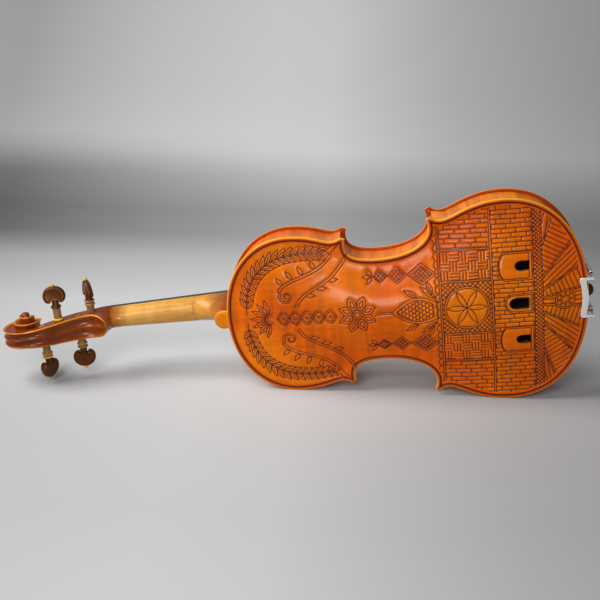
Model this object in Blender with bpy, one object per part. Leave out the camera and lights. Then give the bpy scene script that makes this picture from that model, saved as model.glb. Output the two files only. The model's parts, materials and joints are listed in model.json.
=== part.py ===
"""Carved violin, standing on its treble side.

Everything is drawn in the violin's own frame, in millimetres: x runs from the neck end of the body (0) to its
tail, y from the back's glued face (0) towards the strings, and z across, with the bass side positive. An empty
then tilts the whole violin so that it rests on the treble edges of both bouts.
"""

import math

import bmesh
import bpy
from mathutils import Matrix, Vector
from mathutils.bvhtree import BVHTree

MM = 0.001
GAP = 0.3

# Outline of both plates; its lengthwise places are drawn for a body of 356 mm and move with the body's length
BODY_LENGTH = 356.0
SCALE = BODY_LENGTH / 356.0
UPPER_BOUT_AT = 67.4 * SCALE
UPPER_BOUT_HALF = 82.0
UPPER_CORNER_AT = 121.9 * SCALE
UPPER_CORNER_HALF = 76.5
UPPER_TIP_TURN = math.radians(-19.5)
WAIST_AT = 154.4 * SCALE
WAIST_HALF = 53.6
LOWER_CORNER_AT = 205.0 * SCALE
LOWER_CORNER_HALF = 90.6
LOWER_TIP_TURN = math.radians(29.7)
LOWER_BOUT_AT = 276.8 * SCALE
LOWER_BOUT_HALF = 104.5
CORNER_TIP = 5.5
NECK_END_PULL = 0.627 * UPPER_BOUT_HALF
TAIL_END_PULL = 0.659 * LOWER_BOUT_HALF

# Plates, ribs and the wood inside
PLATE_EDGE = 4.0
CHANNEL_INSET = 6.0
CHANNEL_DROP = 0.5
BACK_ARCH = 11.3
TOP_ARCH = 11.8
BACK_THICKNESS = 4.2
TOP_THICKNESS = 3.1
GLUE_SHARE = 0.03
SPINE_INSET = 0.12
RIB_HEIGHT = 31.0
RIB_WALL = 1.2
OVERHANG = 3.0
LINING_WALL = 1.9
LINING_HEIGHT = 7.5
CORNER_BLOCK_LEG = 21.0
NECK_BLOCK_HALF = 25.0
NECK_BLOCK_DEPTH = 16.0
END_BLOCK_HALF = 24.0
END_BLOCK_DEPTH = 14.0
BASS_BAR_AT = 15.0
BASS_BAR_START = 42.0 * SCALE
BASS_BAR_END = 300.0 * SCALE
BASS_BAR_WALL = 5.5
BASS_BAR_HEIGHT = 10.5
POST_AT = 203.0 * SCALE
POST_SIDE = -19.0
POST_RADIUS = 3.1

# Neck and fingerboard
NUT_AT = -128.0
NUT_LENGTH = 5.0
OVERSTAND = 6.0
BOARD_RISE = 0.1056
BOARD_LENGTH = 270.0
BOARD_EDGE = 5.0
BOARD_RADIUS = 42.0
BOARD_NUT_HALF = 10.6
BOARD_END_HALF = 18.2
NECK_DEPTH_NUT = 12.6
NECK_DEPTH_BODY = 13.4
BUTTON_RADIUS = 9.8
BUTTON_REACH = 13.3
TONGUE_HALF = 9.4
TONGUE_DEPTH = 8.8

# Pegbox and scroll
EYE_AT = -208.4
EYE_LIFT = 4.0
EYE_RADIUS = 4.2
EYE_REACH = 18.9
SPIRAL_STEP = 0.2
PEGBOX_WALL = 4.9
PEGBOX_FLOOR = 6.0
FLUTE_DEPTH = 1.5
PEG_RADIUS = 3.75
PEG_TAPER = 0.012
PEG_BEVEL = 0.8
PEG_OVERRUN = 0.2
STEM_RADIUS = 3.5
HEAD_RISE = 3.8
HEAD_WIDTH = 23.0
HEAD_LENGTH = 17.6
HEAD_THICKNESS = 8.6
BEAD_RADIUS = 1.9
RING_RADIUS = 5.6
RING_WIDTH = 2.4

# Strings and what carries them
STRING_NUT_SPREAD = 15.3
STRING_BRIDGE_SPREAD = 34.0
STRING_TAIL_SPREAD = 29.0
BRIDGE_AT = 195.0 * SCALE
BRIDGE_FOOT_HALF = 20.7
BRIDGE_FOOT_DEPTH = 4.6
BRIDGE_TOP_DEPTH = 1.6
BRIDGE_CLEAR = 0.42
WINDING_TURNS = 3
WINDING_STEPS = 22
WINDING_GAP = 0.5
SADDLE_HALF = 16.5
SADDLE_HEIGHT = 5.4
SADDLE_LENGTH = 6.5
TAILPIECE_LENGTH = 107.0
TAILPIECE_CLEAR = 9.0
TAILPIECE_HALF = 20.6
TAILPIECE_TAIL_HALF = 10.6
TAILPIECE_THICKNESS = 5.4
GUT_RADIUS = 0.9
GUT_SPREAD = 8.0
BUTTON_LIFT = 15.5
BUTTON_PIN = 4.0
BUTTON_HEAD = 6.4

# Chin rest and its clamp
POST_SPREAD = 38.6
CLAMP_REACH = 3.4
CLAMP_ROD = 1.6
BARREL_RADIUS = 2.8
BARREL_LOW = 8.5
BARREL_LENGTH = 20.5
FOOT_WIDTH = 41.8
FOOT_DEPTH = 7.6
FOOT_THICKNESS = 1.5
CORK = 1.2
REST_CORK = 2.0
REST_FOOT = 10.0
REST_SPAN_RISE = 11.5
REST_TABLE = 4.8
REST_LIP = 2.4
CUP_REACH = 56.5
CUP_SIDE = 45.0
CUP_LENGTH = 36.5
CUP_WIDTH = 31.0
CUP_WALL = 4.8
CUP_RIM = 5.2

TOP_FACE = RIB_HEIGHT + PLATE_EDGE
GLUE_AT_BODY = TOP_FACE + OVERSTAND
NUT_END = NUT_AT - NUT_LENGTH
CLAMP_AT = BODY_LENGTH + CLAMP_REACH
TAILPIECE_END = BODY_LENGTH - TAILPIECE_CLEAR
TAILPIECE_START = TAILPIECE_END - TAILPIECE_LENGTH
CUP_AT = BODY_LENGTH - CUP_REACH

COLOURS = {
    "back": (0.52, 0.17, 0.02, 0.32),
    "spruce": (0.62, 0.27, 0.05, 0.35),
    "maple": (0.50, 0.12, 0.02, 0.32),
    "neck": (0.62, 0.30, 0.08, 0.42),
    "inner": (0.70, 0.50, 0.28, 0.60),
    "ebony": (0.012, 0.010, 0.010, 0.35),
    "rosewood": (0.075, 0.020, 0.010, 0.30),
    "boxwood": (0.72, 0.42, 0.06, 0.35),
    "bridge": (0.72, 0.48, 0.22, 0.50),
    "steel": (0.62, 0.61, 0.59, 0.28),
    "cork": (0.42, 0.25, 0.12, 0.85),
    "cord": (0.03, 0.03, 0.03, 0.45),
}
METALS = ("steel",)


def clear_scene():
    for obj in list(bpy.data.objects):
        bpy.data.objects.remove(obj, do_unlink=True)


def material(name, kind):
    red, green, blue, roughness = COLOURS[kind]
    made = bpy.data.materials.new(name)
    made.use_nodes = True
    shader = made.node_tree.nodes["Principled BSDF"]
    shader.inputs["Base Color"].default_value = (red, green, blue, 1.0)
    shader.inputs["Roughness"].default_value = roughness
    shader.inputs["Metallic"].default_value = 1.0 if kind in METALS else 0.0
    made.diffuse_color = (red, green, blue, 1.0)
    return made


def add_object(name, data, kind):
    obj = bpy.data.objects.new(name, data)
    bpy.context.scene.collection.objects.link(obj)
    data.materials.append(material(name, kind))
    return obj


def mesh_object(name, points, faces, kind="inner"):
    """A closed mesh from points in millimetres, with matching points joined and its normals out."""
    shape = bmesh.new()
    corners = [shape.verts.new(Vector(point) * MM) for point in points]
    for face in faces:
        shape.faces.new([corners[index] for index in face])
    bmesh.ops.remove_doubles(shape, verts=shape.verts, dist=1e-7)
    bmesh.ops.recalc_face_normals(shape, faces=shape.faces)
    data = bpy.data.meshes.new(name)
    shape.to_mesh(data)
    shape.free()
    return add_object(name, data, kind)


def loft(name, rings, kind="inner"):
    """Rings of equally many points, bridged one to the next and closed at both ends."""
    size = len(rings[0])
    points = [point for ring in rings for point in ring]
    faces = [list(range(size)), list(range(len(points) - size, len(points)))]
    for k in range(len(rings) - 1):
        for i in range(size):
            j = (i + 1) % size
            faces.append([k * size + i, k * size + j, (k + 1) * size + j, (k + 1) * size + i])
    return mesh_object(name, points, faces, kind)


def prism(name, outline, low, high, axis="y", kind="inner"):
    """An outline pushed along an axis. The outline is given as (x, z) for y, (x, y) for z and (z, y) for x."""
    place = {
        "y": lambda a, b, c: (a, c, b),
        "z": lambda a, b, c: (a, b, c),
        "x": lambda a, b, c: (c, b, a),
    }[axis]
    rings = [[place(a, b, level) for a, b in outline] for level in (low, high)]
    return loft(name, rings, kind)


def block(name, low, high, kind="inner"):
    corners = [(low[0], low[2]), (high[0], low[2]), (high[0], high[2]), (low[0], high[2])]
    return prism(name, corners, low[1], high[1], "y", kind)


def circle(radius, count, centre=(0.0, 0.0)):
    turns = [2 * math.pi * i / count for i in range(count)]
    return [(centre[0] + radius * math.cos(t), centre[1] + radius * math.sin(t)) for t in turns]


def revolve(name, profile, centre, axis, count, kind="inner"):
    """A profile of (distance along the axis, radius) turned round an axis through the centre."""
    along = {"x": 0, "y": 1, "z": 2}[axis]
    others = [i for i in range(3) if i != along]
    rings = []
    for reach, radius in profile:
        ring = []
        for a, b in circle(radius, count):
            point = list(centre)
            point[along] += reach
            point[others[0]] += a
            point[others[1]] += b
            ring.append(tuple(point))
        rings.append(ring)
    return loft(name, rings, kind)


def rod(name, centre, axis, low, high, radius, count=16, kind="inner"):
    return revolve(name, [(low, radius), (high, radius)], centre, axis, count, kind)


def combine(target, tool, operation):
    """Runs one Boolean on the target and removes the tool."""
    tool.hide_render = True
    tool.display_type = "WIRE"
    step = target.modifiers.new("combine", "BOOLEAN")
    step.operation = operation
    step.solver = "EXACT"
    step.object = tool
    bpy.context.view_layer.update()
    graph = bpy.context.evaluated_depsgraph_get()
    data = bpy.data.meshes.new_from_object(target.evaluated_get(graph))
    target.modifiers.remove(step)
    target.data = data
    bpy.data.objects.remove(tool, do_unlink=True)


def cut(target, tool):
    combine(target, tool, "DIFFERENCE")


def join(target, tool):
    combine(target, tool, "UNION")


def move_origin(obj, x, y, z=0.0):
    """Puts the origin on a joint's axis and leaves the mesh where it is."""
    place = Vector((x, y, z)) * MM
    obj.data.transform(Matrix.Translation(-place))
    obj.location = place


def smooth_through(values, where):
    """A smooth curve through evenly spaced values, read at a fractional index."""
    last = len(values) - 1
    i = max(0, min(last - 1, int(math.floor(where))))
    t = where - i
    before = values[max(0, i - 1)]
    a = values[i]
    b = values[i + 1]
    after = values[min(last, i + 2)]
    slope_a = (b - before) / 2
    slope_b = (after - a) / 2
    ends = (2 * t**3 - 3 * t**2 + 1) * a + (3 * t**2 - 2 * t**3) * b
    return ends + (t**3 - 2 * t**2 + t) * slope_a + (t**3 - t**2) * slope_b


def between(table, x):
    """Straight lines through a table of (x, value), held level beyond its ends."""
    if x <= table[0][0]:
        return table[0][1]
    for (x0, v0), (x1, v1) in zip(table, table[1:]):
        if x <= x1:
            return v0 + (v1 - v0) * (x - x0) / (x1 - x0)
    return table[-1][1]


# Outline


def bezier(start, pull_start, pull_end, end, count):
    points = []
    for i in range(count + 1):
        t = i / count
        s = 1 - t
        weights = (s**3, 3 * s * s * t, 3 * s * t * t, t**3)
        corners = (start, pull_start, pull_end, end)
        points.append(tuple(sum(w * c[k] for w, c in zip(weights, corners)) for k in (0, 1)))
    return points


def shifted(point, length, degrees):
    turn = math.radians(degrees)
    return (point[0] + length * math.cos(turn), point[1] + length * math.sin(turn))


def ahead(point, reach):
    """A handle towards the tail."""
    return (point[0] + reach * SCALE, point[1])


def back(point, reach):
    """A handle towards the neck."""
    return (point[0] - reach * SCALE, point[1])


def corner_ends(at, half, turn):
    """The two ends of a corner's blunt tip."""
    along = (math.cos(turn) * CORNER_TIP / 2, math.sin(turn) * CORNER_TIP / 2)
    return (at - along[0], half - along[1]), (at + along[0], half + along[1])


def edge_arcs(density=1):
    """The bass half's three edge curves: upper bout, waist and lower bout, each as (x, z) points."""
    tip_a, tip_b = corner_ends(UPPER_CORNER_AT, UPPER_CORNER_HALF, UPPER_TIP_TURN)
    tip_c, tip_d = corner_ends(LOWER_CORNER_AT, LOWER_CORNER_HALF, LOWER_TIP_TURN)
    upper = (UPPER_BOUT_AT, UPPER_BOUT_HALF)
    waist = (WAIST_AT, WAIST_HALF)
    lower = (LOWER_BOUT_AT, LOWER_BOUT_HALF)
    tail = (BODY_LENGTH, 0.0)
    step = [count * density for count in (7, 7, 6, 6, 7, 9)]
    first = bezier((0.0, 0.0), (0.0, NECK_END_PULL), back(upper, 36.0), upper, step[0])
    first += bezier(upper, ahead(upper, 32.7), shifted(tip_a, 15.3, 214.3), tip_a, step[1])[1:]
    second = bezier(tip_b, shifted(tip_b, 17.9, -103.5), back(waist, 23.1), waist, step[2])
    second += bezier(waist, ahead(waist, 31.9), shifted(tip_c, 23.1, -64.3), tip_c, step[3])[1:]
    third = bezier(tip_d, shifted(tip_d, 19.3, -41.1), back(lower, 42.1), lower, step[4])
    third += bezier(lower, ahead(lower, 45.9), (BODY_LENGTH, TAIL_END_PULL), tail, step[5])[1:]
    return first, second, third


def inset(line, distance):
    """The line moved inwards, square to itself."""
    moved = []
    last = len(line) - 1
    for i, (x, z) in enumerate(line):
        x0, z0 = line[max(0, i - 1)]
        x1, z1 = line[min(last, i + 1)]
        length = math.hypot(x1 - x0, z1 - z0)
        moved.append((x + distance * (z1 - z0) / length, z - distance * (x1 - x0) / length))
    return moved


def reach_to(point, line):
    """The least distance from a point to a line."""
    least = math.inf
    for (x0, z0), (x1, z1) in zip(line, line[1:]):
        dx, dz = x1 - x0, z1 - z0
        t = ((point[0] - x0) * dx + (point[1] - z0) * dz) / (dx * dx + dz * dz)
        t = max(0.0, min(1.0, t))
        least = min(least, math.hypot(point[0] - x0 - t * dx, point[1] - z0 - t * dz))
    return least


def respaced(line, count):
    """The same line with evenly spaced points."""
    runs = [0.0]
    for (x0, z0), (x1, z1) in zip(line, line[1:]):
        runs.append(runs[-1] + math.hypot(x1 - x0, z1 - z0))
    points = []
    for i in range(count + 1):
        goal = runs[-1] * i / count
        points.append(tuple(between(list(zip(runs, [p[k] for p in line])), goal) for k in (0, 1)))
    return points


# Plates


def long_arch(x):
    """How much of the full arch the centre line has at x."""
    return 1 - 0.62 * ((x - BODY_LENGTH / 2) / (BODY_LENGTH / 2)) ** 2


def cross_arch(share):
    """How much of the centre line's height the arch has at a share of the way from the channel inwards."""
    return 0.5 - 0.5 * math.cos(math.pi * share**0.85)


def spine_of(x):
    """The point of the centre line that a row of the plate's mesh runs to."""
    return SPINE_INSET * BODY_LENGTH + (1 - 2 * SPINE_INSET) * x


def arch_line(density=1):
    """Where the arch starts, point for point with the edge: inside the channel, and straight past the corners."""
    near = CHANNEL_INSET
    upper = (UPPER_BOUT_AT, UPPER_BOUT_HALF - near)
    waist = (WAIST_AT, WAIST_HALF - near)
    lower = (LOWER_BOUT_AT, LOWER_BOUT_HALF - near)
    tail = (BODY_LENGTH - near, 0.0)
    neck_pull = (near, NECK_END_PULL - 0.57 * near)
    tail_pull = (tail[0], TAIL_END_PULL - 0.64 * near)
    neck_end = bezier((near, 0.0), neck_pull, back(upper, 34.0), upper, 7 * density)
    falling = bezier(upper, ahead(upper, 34.0), back(waist, 38.0), waist, 14 * density)
    rising = bezier(waist, ahead(waist, 54.0), back(lower, 50.0), lower, 14 * density)
    tail_end = bezier(lower, ahead(lower, 43.5), tail_pull, tail, 9 * density)
    half = 7 * density
    line = neck_end + falling[1 : half + 1] + respaced(falling[half:], 6 * density)
    line += respaced(rising[: half + 1], 6 * density)[1:] + rising[half:]
    return line + tail_end[1:]


def plate_section(point, start, arch, thickness):
    """Points across the plate from its inner to its outer centre line, as (x, depth, z)."""
    spine_x = spine_of(start[0])
    rise = arch * long_arch(spine_x)
    floor = PLATE_EDGE - CHANNEL_DROP
    edge_run = math.dist(point, start)

    def outside(along, depth):
        share = along / edge_run
        return (point[0] + (start[0] - point[0]) * share, depth, point[1] + (start[1] - point[1]) * share)

    def inside(share, depth):
        return (start[0] + (spine_x - start[0]) * share, depth, start[1] * (1 - share))

    section = []
    for share in (1.0, 0.66, 0.30):
        wood = thickness * (0.78 + 0.22 * share)
        section.append(inside(share, max(0.25, floor + rise * cross_arch(share) - wood)))
    section.append(inside(GLUE_SHARE, 0.0))
    section.append(outside(0.0, 0.0))
    section.append(outside(0.0, PLATE_EDGE - 0.9))
    section.append(outside(1.0, PLATE_EDGE))
    section.append(inside(0.0, floor))
    for share in (0.16, 0.34, 0.55, 0.78, 1.0):
        section.append(inside(share, floor + rise * cross_arch(share)))
    return section


def plate(name, arch, thickness, base, facing, kind):
    """An arched plate with its glued face at the base height, facing away from it (-1 back, 1 top)."""
    arcs = edge_arcs()
    rows = list(zip(arcs[0] + arcs[1] + arcs[2], arch_line()))
    points = []
    faces = []
    for side in (1, -1):
        first = len(points)
        for row, (point, start) in enumerate(rows):
            section = plate_section(point, start, arch, thickness)
            width = len(section)
            points += [(x, base + facing * depth, side * z) for x, depth, z in section]
            if row == 0:
                continue
            for k in range(width - 1):
                a = first + (row - 1) * width + k
                faces.append([a, a + 1, a + width + 1, a + width])
    return mesh_object(name, points, faces, kind)


def arched_slot(name, middle, side, length, width):
    """A cutter for a through-opening with a flat base towards the tail and a round head towards the neck."""
    head = middle - length / 2 + width / 2
    outline = [(middle + length / 2, side - width / 2), (middle + length / 2, side + width / 2)]
    for i in range(9):
        turn = math.pi / 2 + math.pi * i / 8
        outline.append((head + width / 2 * math.cos(turn), side + width / 2 * math.sin(turn)))
    return prism(name, outline, -3 * BACK_ARCH, BACK_ARCH)


def back_plate():
    made = plate("back_plate", BACK_ARCH, BACK_THICKNESS, 0.0, -1, "back")
    centre = BUTTON_RADIUS - BUTTON_REACH
    button = []
    for i in range(13):
        turn = math.pi / 2 + math.pi * i / 12
        button.append((centre + BUTTON_RADIUS * math.cos(turn), BUTTON_RADIUS * math.sin(turn)))
    button += [(OVERHANG + 4, -BUTTON_RADIUS), (OVERHANG + 4, BUTTON_RADIUS)]
    join(made, prism("button", button, 0.12 - PLATE_EDGE, -0.12))
    for middle, side, length, width in BACK_SLOTS:
        cut(made, arched_slot("slot", middle * SCALE, side, length, width))
    return made


BACK_SLOTS = ((292.0, 38.2, 13.8, 9.4), (288.0, 0.4, 18.6, 10.8), (291.5, -38.0, 13.8, 8.8))

# The sound hole on the bass side: the line of its stem with the width there, and its two eyes
STEM_LINE = (
    (164.5, 24.0, 1.6),
    (158.0, 26.0, 2.4),
    (155.8, 30.2, 3.4),
    (160.5, 34.0, 4.8),
    (172.0, 35.8, 5.8),
    (184.0, 36.8, 6.2),
    (196.0, 37.8, 6.4),
    (208.0, 38.9, 6.2),
    (220.0, 40.4, 5.8),
    (231.5, 43.2, 4.8),
    (237.0, 47.2, 3.4),
    (235.8, 51.6, 2.4),
    (230.5, 54.4, 1.6),
)
EYES = ((165.5, 22.6, 3.3), (228.5, 55.4, 4.5))


def sound_hole(top, side):
    left = []
    right = []
    last = len(STEM_LINE) - 1
    line = [(x * SCALE, z, width) for x, z, width in STEM_LINE]
    for i, (x, z, width) in enumerate(line):
        x0, z0, _ = line[max(0, i - 1)]
        x1, z1, _ = line[min(last, i + 1)]
        length = math.hypot(x1 - x0, z1 - z0)
        across = (-(z1 - z0) / length * width / 2, (x1 - x0) / length * width / 2)
        left.append((x + across[0], side * (z + across[1])))
        right.append((x - across[0], side * (z - across[1])))
    low, high = RIB_HEIGHT - TOP_ARCH, TOP_FACE + 3 * TOP_ARCH
    hole = prism("stem", left + right[::-1], low, high)
    for x, z, radius in EYES:
        join(hole, prism("eye", circle(radius, 14, (x * SCALE, side * z)), low - 1, high + 1))
    cut(top, hole)


def top_plate():
    top = plate("top_plate", TOP_ARCH, TOP_THICKNESS, RIB_HEIGHT, 1, "spruce")
    for side in (1, -1):
        sound_hole(top, side)
    return top


class Surface:
    """Heights of a finished plate, read by a ray along y."""

    def __init__(self, obj):
        data = obj.data
        corners = [vertex.co / MM for vertex in data.vertices]
        self.tree = BVHTree.FromPolygons(corners, [tuple(face.vertices) for face in data.polygons])

    def height(self, x, z, start, way):
        hit = self.tree.ray_cast(Vector((x, start, z)), Vector((0, way, 0)))[0]
        return start if hit is None else hit.y


# Ribs, linings and blocks


def strip(name, line, walls, low, high, side, kind):
    """An upright strip between two insets of an edge line."""
    outer = inset(line, walls[0])
    inner = inset(line, walls[1])
    rings = []
    for (x0, z0), (x1, z1) in zip(outer, inner):
        corners = ((x0, low, z0), (x0, high, z0), (x1, high, z1), (x1, low, z1))
        rings.append([(x, y, side * z) for x, y, z in corners])
    return loft(name, rings, kind)


def clear_run(line, walls, others, clearance, least=0.0):
    """The stretch of an edge line whose insets keep clear of other lines and a least distance off the middle."""
    outer = inset(line, walls[0])
    inner = inset(line, walls[1])
    kept = []
    for i, (x, z) in enumerate(line):
        free = all(reach_to(p, other) >= clearance for p in (outer[i], inner[i]) for other in others)
        if z < least:
            beside = [p for p in (*line[max(0, i - 1) : i], *line[i + 1 : i + 2]) if p[1] > least]
            if beside and free:
                share = (least - z) / (beside[0][1] - z)
                kept.append((x + (beside[0][0] - x) * share, least))
        elif free:
            kept.append((x, z))
    return kept


def ribs(arcs):
    walls = (OVERHANG, OVERHANG + RIB_WALL)
    upper, waist, lower = arcs
    neck_side = TONGUE_HALF + 3 * GAP
    runs = {
        "rib_upper": clear_run(upper, walls, [waist], OVERHANG, neck_side),
        "rib_waist": clear_run(waist, walls, [upper, lower], OVERHANG + RIB_WALL + GAP),
        "rib_lower": clear_run(lower, walls, [waist], OVERHANG, GAP / 2),
    }
    counts = {"rib_upper": 15, "rib_waist": 13, "rib_lower": 19}
    made = []
    for name, run in runs.items():
        line = respaced(run, counts[name])
        for side, word in ((1, "bass"), (-1, "treble")):
            full = f"{name}_{word}"
            rib = strip(full, line, walls, GAP, RIB_HEIGHT - GAP, side, "maple")
            if name == "rib_lower":
                pin = (BODY_LENGTH, BUTTON_LIFT, 0.0)
                cut(rib, rod("pin", pin, "x", -12, 12, BUTTON_PIN + GAP))
            made.append(rib)
    return made


# Chords along each lining; the waist bends the other way, so its chords lean towards the rib and are shorter
LINING_STEPS = {"lining_upper": 5, "lining_waist": 8, "lining_lower": 5}


def linings(arcs):
    start = OVERHANG + RIB_WALL + GAP
    walls = (start, start + LINING_WALL)
    upper, waist, lower = arcs
    near_corner = CORNER_BLOCK_LEG + 6
    neck_side = NECK_BLOCK_HALF + 3 * GAP
    end_side = END_BLOCK_HALF + 3 * GAP
    ends = [upper[-1:] * 2, waist[:1] * 2, waist[-1:] * 2, lower[:1] * 2]
    corners = [[(p[0][0] - 0.01, p[0][1]), (p[0][0] + 0.01, p[0][1])] for p in ends]
    runs = {
        "lining_upper": clear_run(upper, walls, corners[:2], near_corner, neck_side),
        "lining_waist": clear_run(waist, walls, corners, near_corner),
        "lining_lower": clear_run(lower, walls, corners[2:], near_corner, end_side),
    }
    levels = {"back": (GAP, LINING_HEIGHT), "top": (RIB_HEIGHT - LINING_HEIGHT, RIB_HEIGHT - GAP)}
    for name, run in runs.items():
        line = respaced(run, LINING_STEPS[name])
        for side, word in ((1, "bass"), (-1, "treble")):
            for level, (low, high) in levels.items():
                strip(f"{name}_{word}_{level}", line, walls, low, high, side, "inner")


def corner_block(name, first, second, tip_first, side):
    """A block between two ribs that meet in a corner: first and second run away from the corner's tip."""
    start = OVERHANG + RIB_WALL + GAP
    sides = []
    for line, other, forward in ((first, second, tip_first), (second, first, not tip_first)):
        points = [p for p in inset(line, start) if reach_to(p, other) >= start]
        tip = points[-1] if forward else points[0]
        near = [p for p in points if math.dist(p, tip) <= CORNER_BLOCK_LEG]
        near = respaced(near, 5)
        sides.append(near if not forward else near[::-1])
    outline = sides[0][::-1] + sides[1]
    return prism(name, [(x, side * z) for x, z in outline], GAP, RIB_HEIGHT - GAP, "y")


def end_of(line, start, half):
    """The part of an inset edge line nearer the centre line than half, ending just there."""
    near = [p for p in inset(line, start) if abs(p[1]) <= half]
    return respaced(near, 6)


def blocks(arcs):
    upper, waist, lower = arcs
    for side, word in ((1, "bass"), (-1, "treble")):
        corner_block(f"corner_block_upper_{word}", upper, waist, True, side)
        corner_block(f"corner_block_lower_{word}", waist, lower, True, side)
    start = OVERHANG + RIB_WALL + GAP
    face = end_of(upper, start, NECK_BLOCK_HALF)
    inner = start + NECK_BLOCK_DEPTH
    half = TONGUE_HALF + GAP
    floor = TONGUE_DEPTH + GAP
    beside_tongue = between([(z, x) for x, z in face], half)
    bass = [(floor, half), (beside_tongue, half)] + [p for p in face if p[1] > half]
    bass.append((inner, face[-1][1]))
    prism("neck_block", bass + [(x, -z) for x, z in bass[::-1]], GAP, RIB_HEIGHT - GAP)
    face = end_of(lower, start, END_BLOCK_HALF)
    inner = BODY_LENGTH - start - END_BLOCK_DEPTH
    outline = face + [(x, -z) for x, z in face[-2::-1]]
    outline += [(inner, -face[0][1]), (inner, face[0][1])]
    end = prism("end_block", outline, GAP, RIB_HEIGHT - GAP)
    pin = (BODY_LENGTH, BUTTON_LIFT, 0.0)
    cut(end, rod("pin", pin, "x", -30, 12, BUTTON_PIN + GAP))


def bass_bar(inside_top):
    half = BASS_BAR_WALL / 2
    length = BASS_BAR_END - BASS_BAR_START
    rings = []
    for i in range(20):
        share = i / 19
        x = BASS_BAR_START + share * length
        lift = []
        for z in (BASS_BAR_AT + half, BASS_BAR_AT - half):
            lift.append(min(inside_top.height(x + s, z, 20.0, 1) for s in (-4, 0, 4)) - GAP)
        drop = 2.5 + (BASS_BAR_HEIGHT - 2.5) * math.sin(math.pi * share) ** 0.7
        foot = min(lift) - drop
        right, left = BASS_BAR_AT + half, BASS_BAR_AT - half
        rings.append([(x, lift[0], right), (x, lift[1], left), (x, foot, left), (x, foot, right)])
    return loft("bass_bar", rings)


def sound_post(inside_top, inside_back):
    rings = []
    rim = circle(POST_RADIUS, 12, (POST_AT, POST_SIDE))
    rings.append([(x, inside_back.height(x, z, 15.0, -1) + GAP, z) for x, z in rim])
    rings.append([(x, inside_top.height(x, z, 15.0, 1) - GAP, z) for x, z in rim])
    return loft("sound_post", rings)


# Neck, pegbox and scroll


def glue_line(x):
    """Height of the fingerboard's glued face."""
    return GLUE_AT_BODY + BOARD_RISE * x


def board_half(x):
    share = (x - NUT_AT) / BOARD_LENGTH
    return BOARD_NUT_HALF + (BOARD_END_HALF - BOARD_NUT_HALF) * share


def board_top(x, z):
    crown = math.sqrt(BOARD_RADIUS**2 - z * z) - math.sqrt(BOARD_RADIUS**2 - board_half(x) ** 2)
    return glue_line(x) + BOARD_EDGE + crown


# Places along the neck and how much deeper it is there, where it grows towards the pegbox
NECK_SWELL = (
    (NUT_AT - 3.0, 6.2),
    (NUT_AT + 3.0, 3.7),
    (NUT_AT + 9.5, 1.3),
    (NUT_AT + 17.0, 0.0),
    (-76.0, 0.0),
    (-42.0, 0.0),
)


def neck_sections():
    """Pairs of (front point, back point, half width) that walk down the neck and turn into the heel."""
    sections = []
    for x, swell in NECK_SWELL:
        share = (x - NUT_AT) / -NUT_AT
        depth = NECK_DEPTH_NUT + (NECK_DEPTH_BODY - NECK_DEPTH_NUT) * share + swell
        front = glue_line(x) - GAP
        sections.append(((x, front), (x, glue_line(x) - depth), board_half(x)))
    heel = (
        (-31.0, None, -38.0, 24.4, None),
        (-21.0, None, -31.5, 22.6, None),
        (-11.0, None, -26.0, 19.7, None),
        (-GAP, None, -21.6, 16.0, None),
        (-GAP, 31.0, -18.2, 11.8, 13.6),
        (-GAP, 21.0, -15.7, 7.6, 12.6),
        (-GAP, 10.0, -14.0, 3.6, 11.0),
        (-GAP, GAP, -BUTTON_REACH + 0.1, GAP, BUTTON_RADIUS),
    )
    for front_x, front_y, back_x, back_y, half in heel:
        front_y = glue_line(front_x) - GAP if front_y is None else front_y
        half = board_half(front_x) if half is None else half
        sections.append(((front_x, front_y), (back_x, back_y), half))
    return sections


def neck_shaft():
    rings = []
    for front, back, half in neck_sections():
        ring = []
        for i in range(13):
            turn = math.pi * i / 12
            deep = math.sin(turn) ** 0.9
            x = front[0] + (back[0] - front[0]) * deep
            y = front[1] + (back[1] - front[1]) * deep
            ring.append((x, y, half * math.cos(turn)))
        rings.append(ring)
    return loft("neck", rings, "neck")


# Pegbox, from the chin to where it dives into the scroll: x, back, front rim, half width at back and at rim
PEGBOX = (
    (-121.8, 16.0, 26.0, 3.2, 10.6),
    (-123.4, 11.0, 26.1, 3.6, 11.0),
    (-124.3, 5.0, 26.2, 3.8, 11.3),
    (-124.8, -0.6, 26.3, 4.0, 11.6),
    (-126.2, -2.2, 26.5, 6.6, 11.9),
    (-128.8, -1.4, 26.8, 9.4, 12.2),
    (-132.8, 0.6, 26.6, 11.5, 12.4),
    (-138.4, 2.6, 24.2, 12.6, 12.2),
    (-144.0, 2.4, 22.2, 12.7, 11.9),
    (-150.0, 0.6, 20.3, 12.5, 11.6),
    (-157.0, -2.6, 17.8, 12.1, 11.2),
    (-164.0, -6.4, 14.4, 11.7, 10.8),
    (-171.0, -11.0, 9.8, 11.2, 10.3),
    (-178.0, -15.6, 4.6, 10.7, 9.8),
    (-185.0, -19.8, 0.8, 10.2, 9.0),
    (-192.0, -23.0, -2.0, 9.7, 7.6),
    (-199.0, -24.8, -4.0, 9.1, 5.8),
    (-206.0, -24.8, -6.0, 8.1, 4.6),
)


def pegbox_at(x, column):
    return between([(row[0], row[column]) for row in PEGBOX[::-1]], x)


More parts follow.
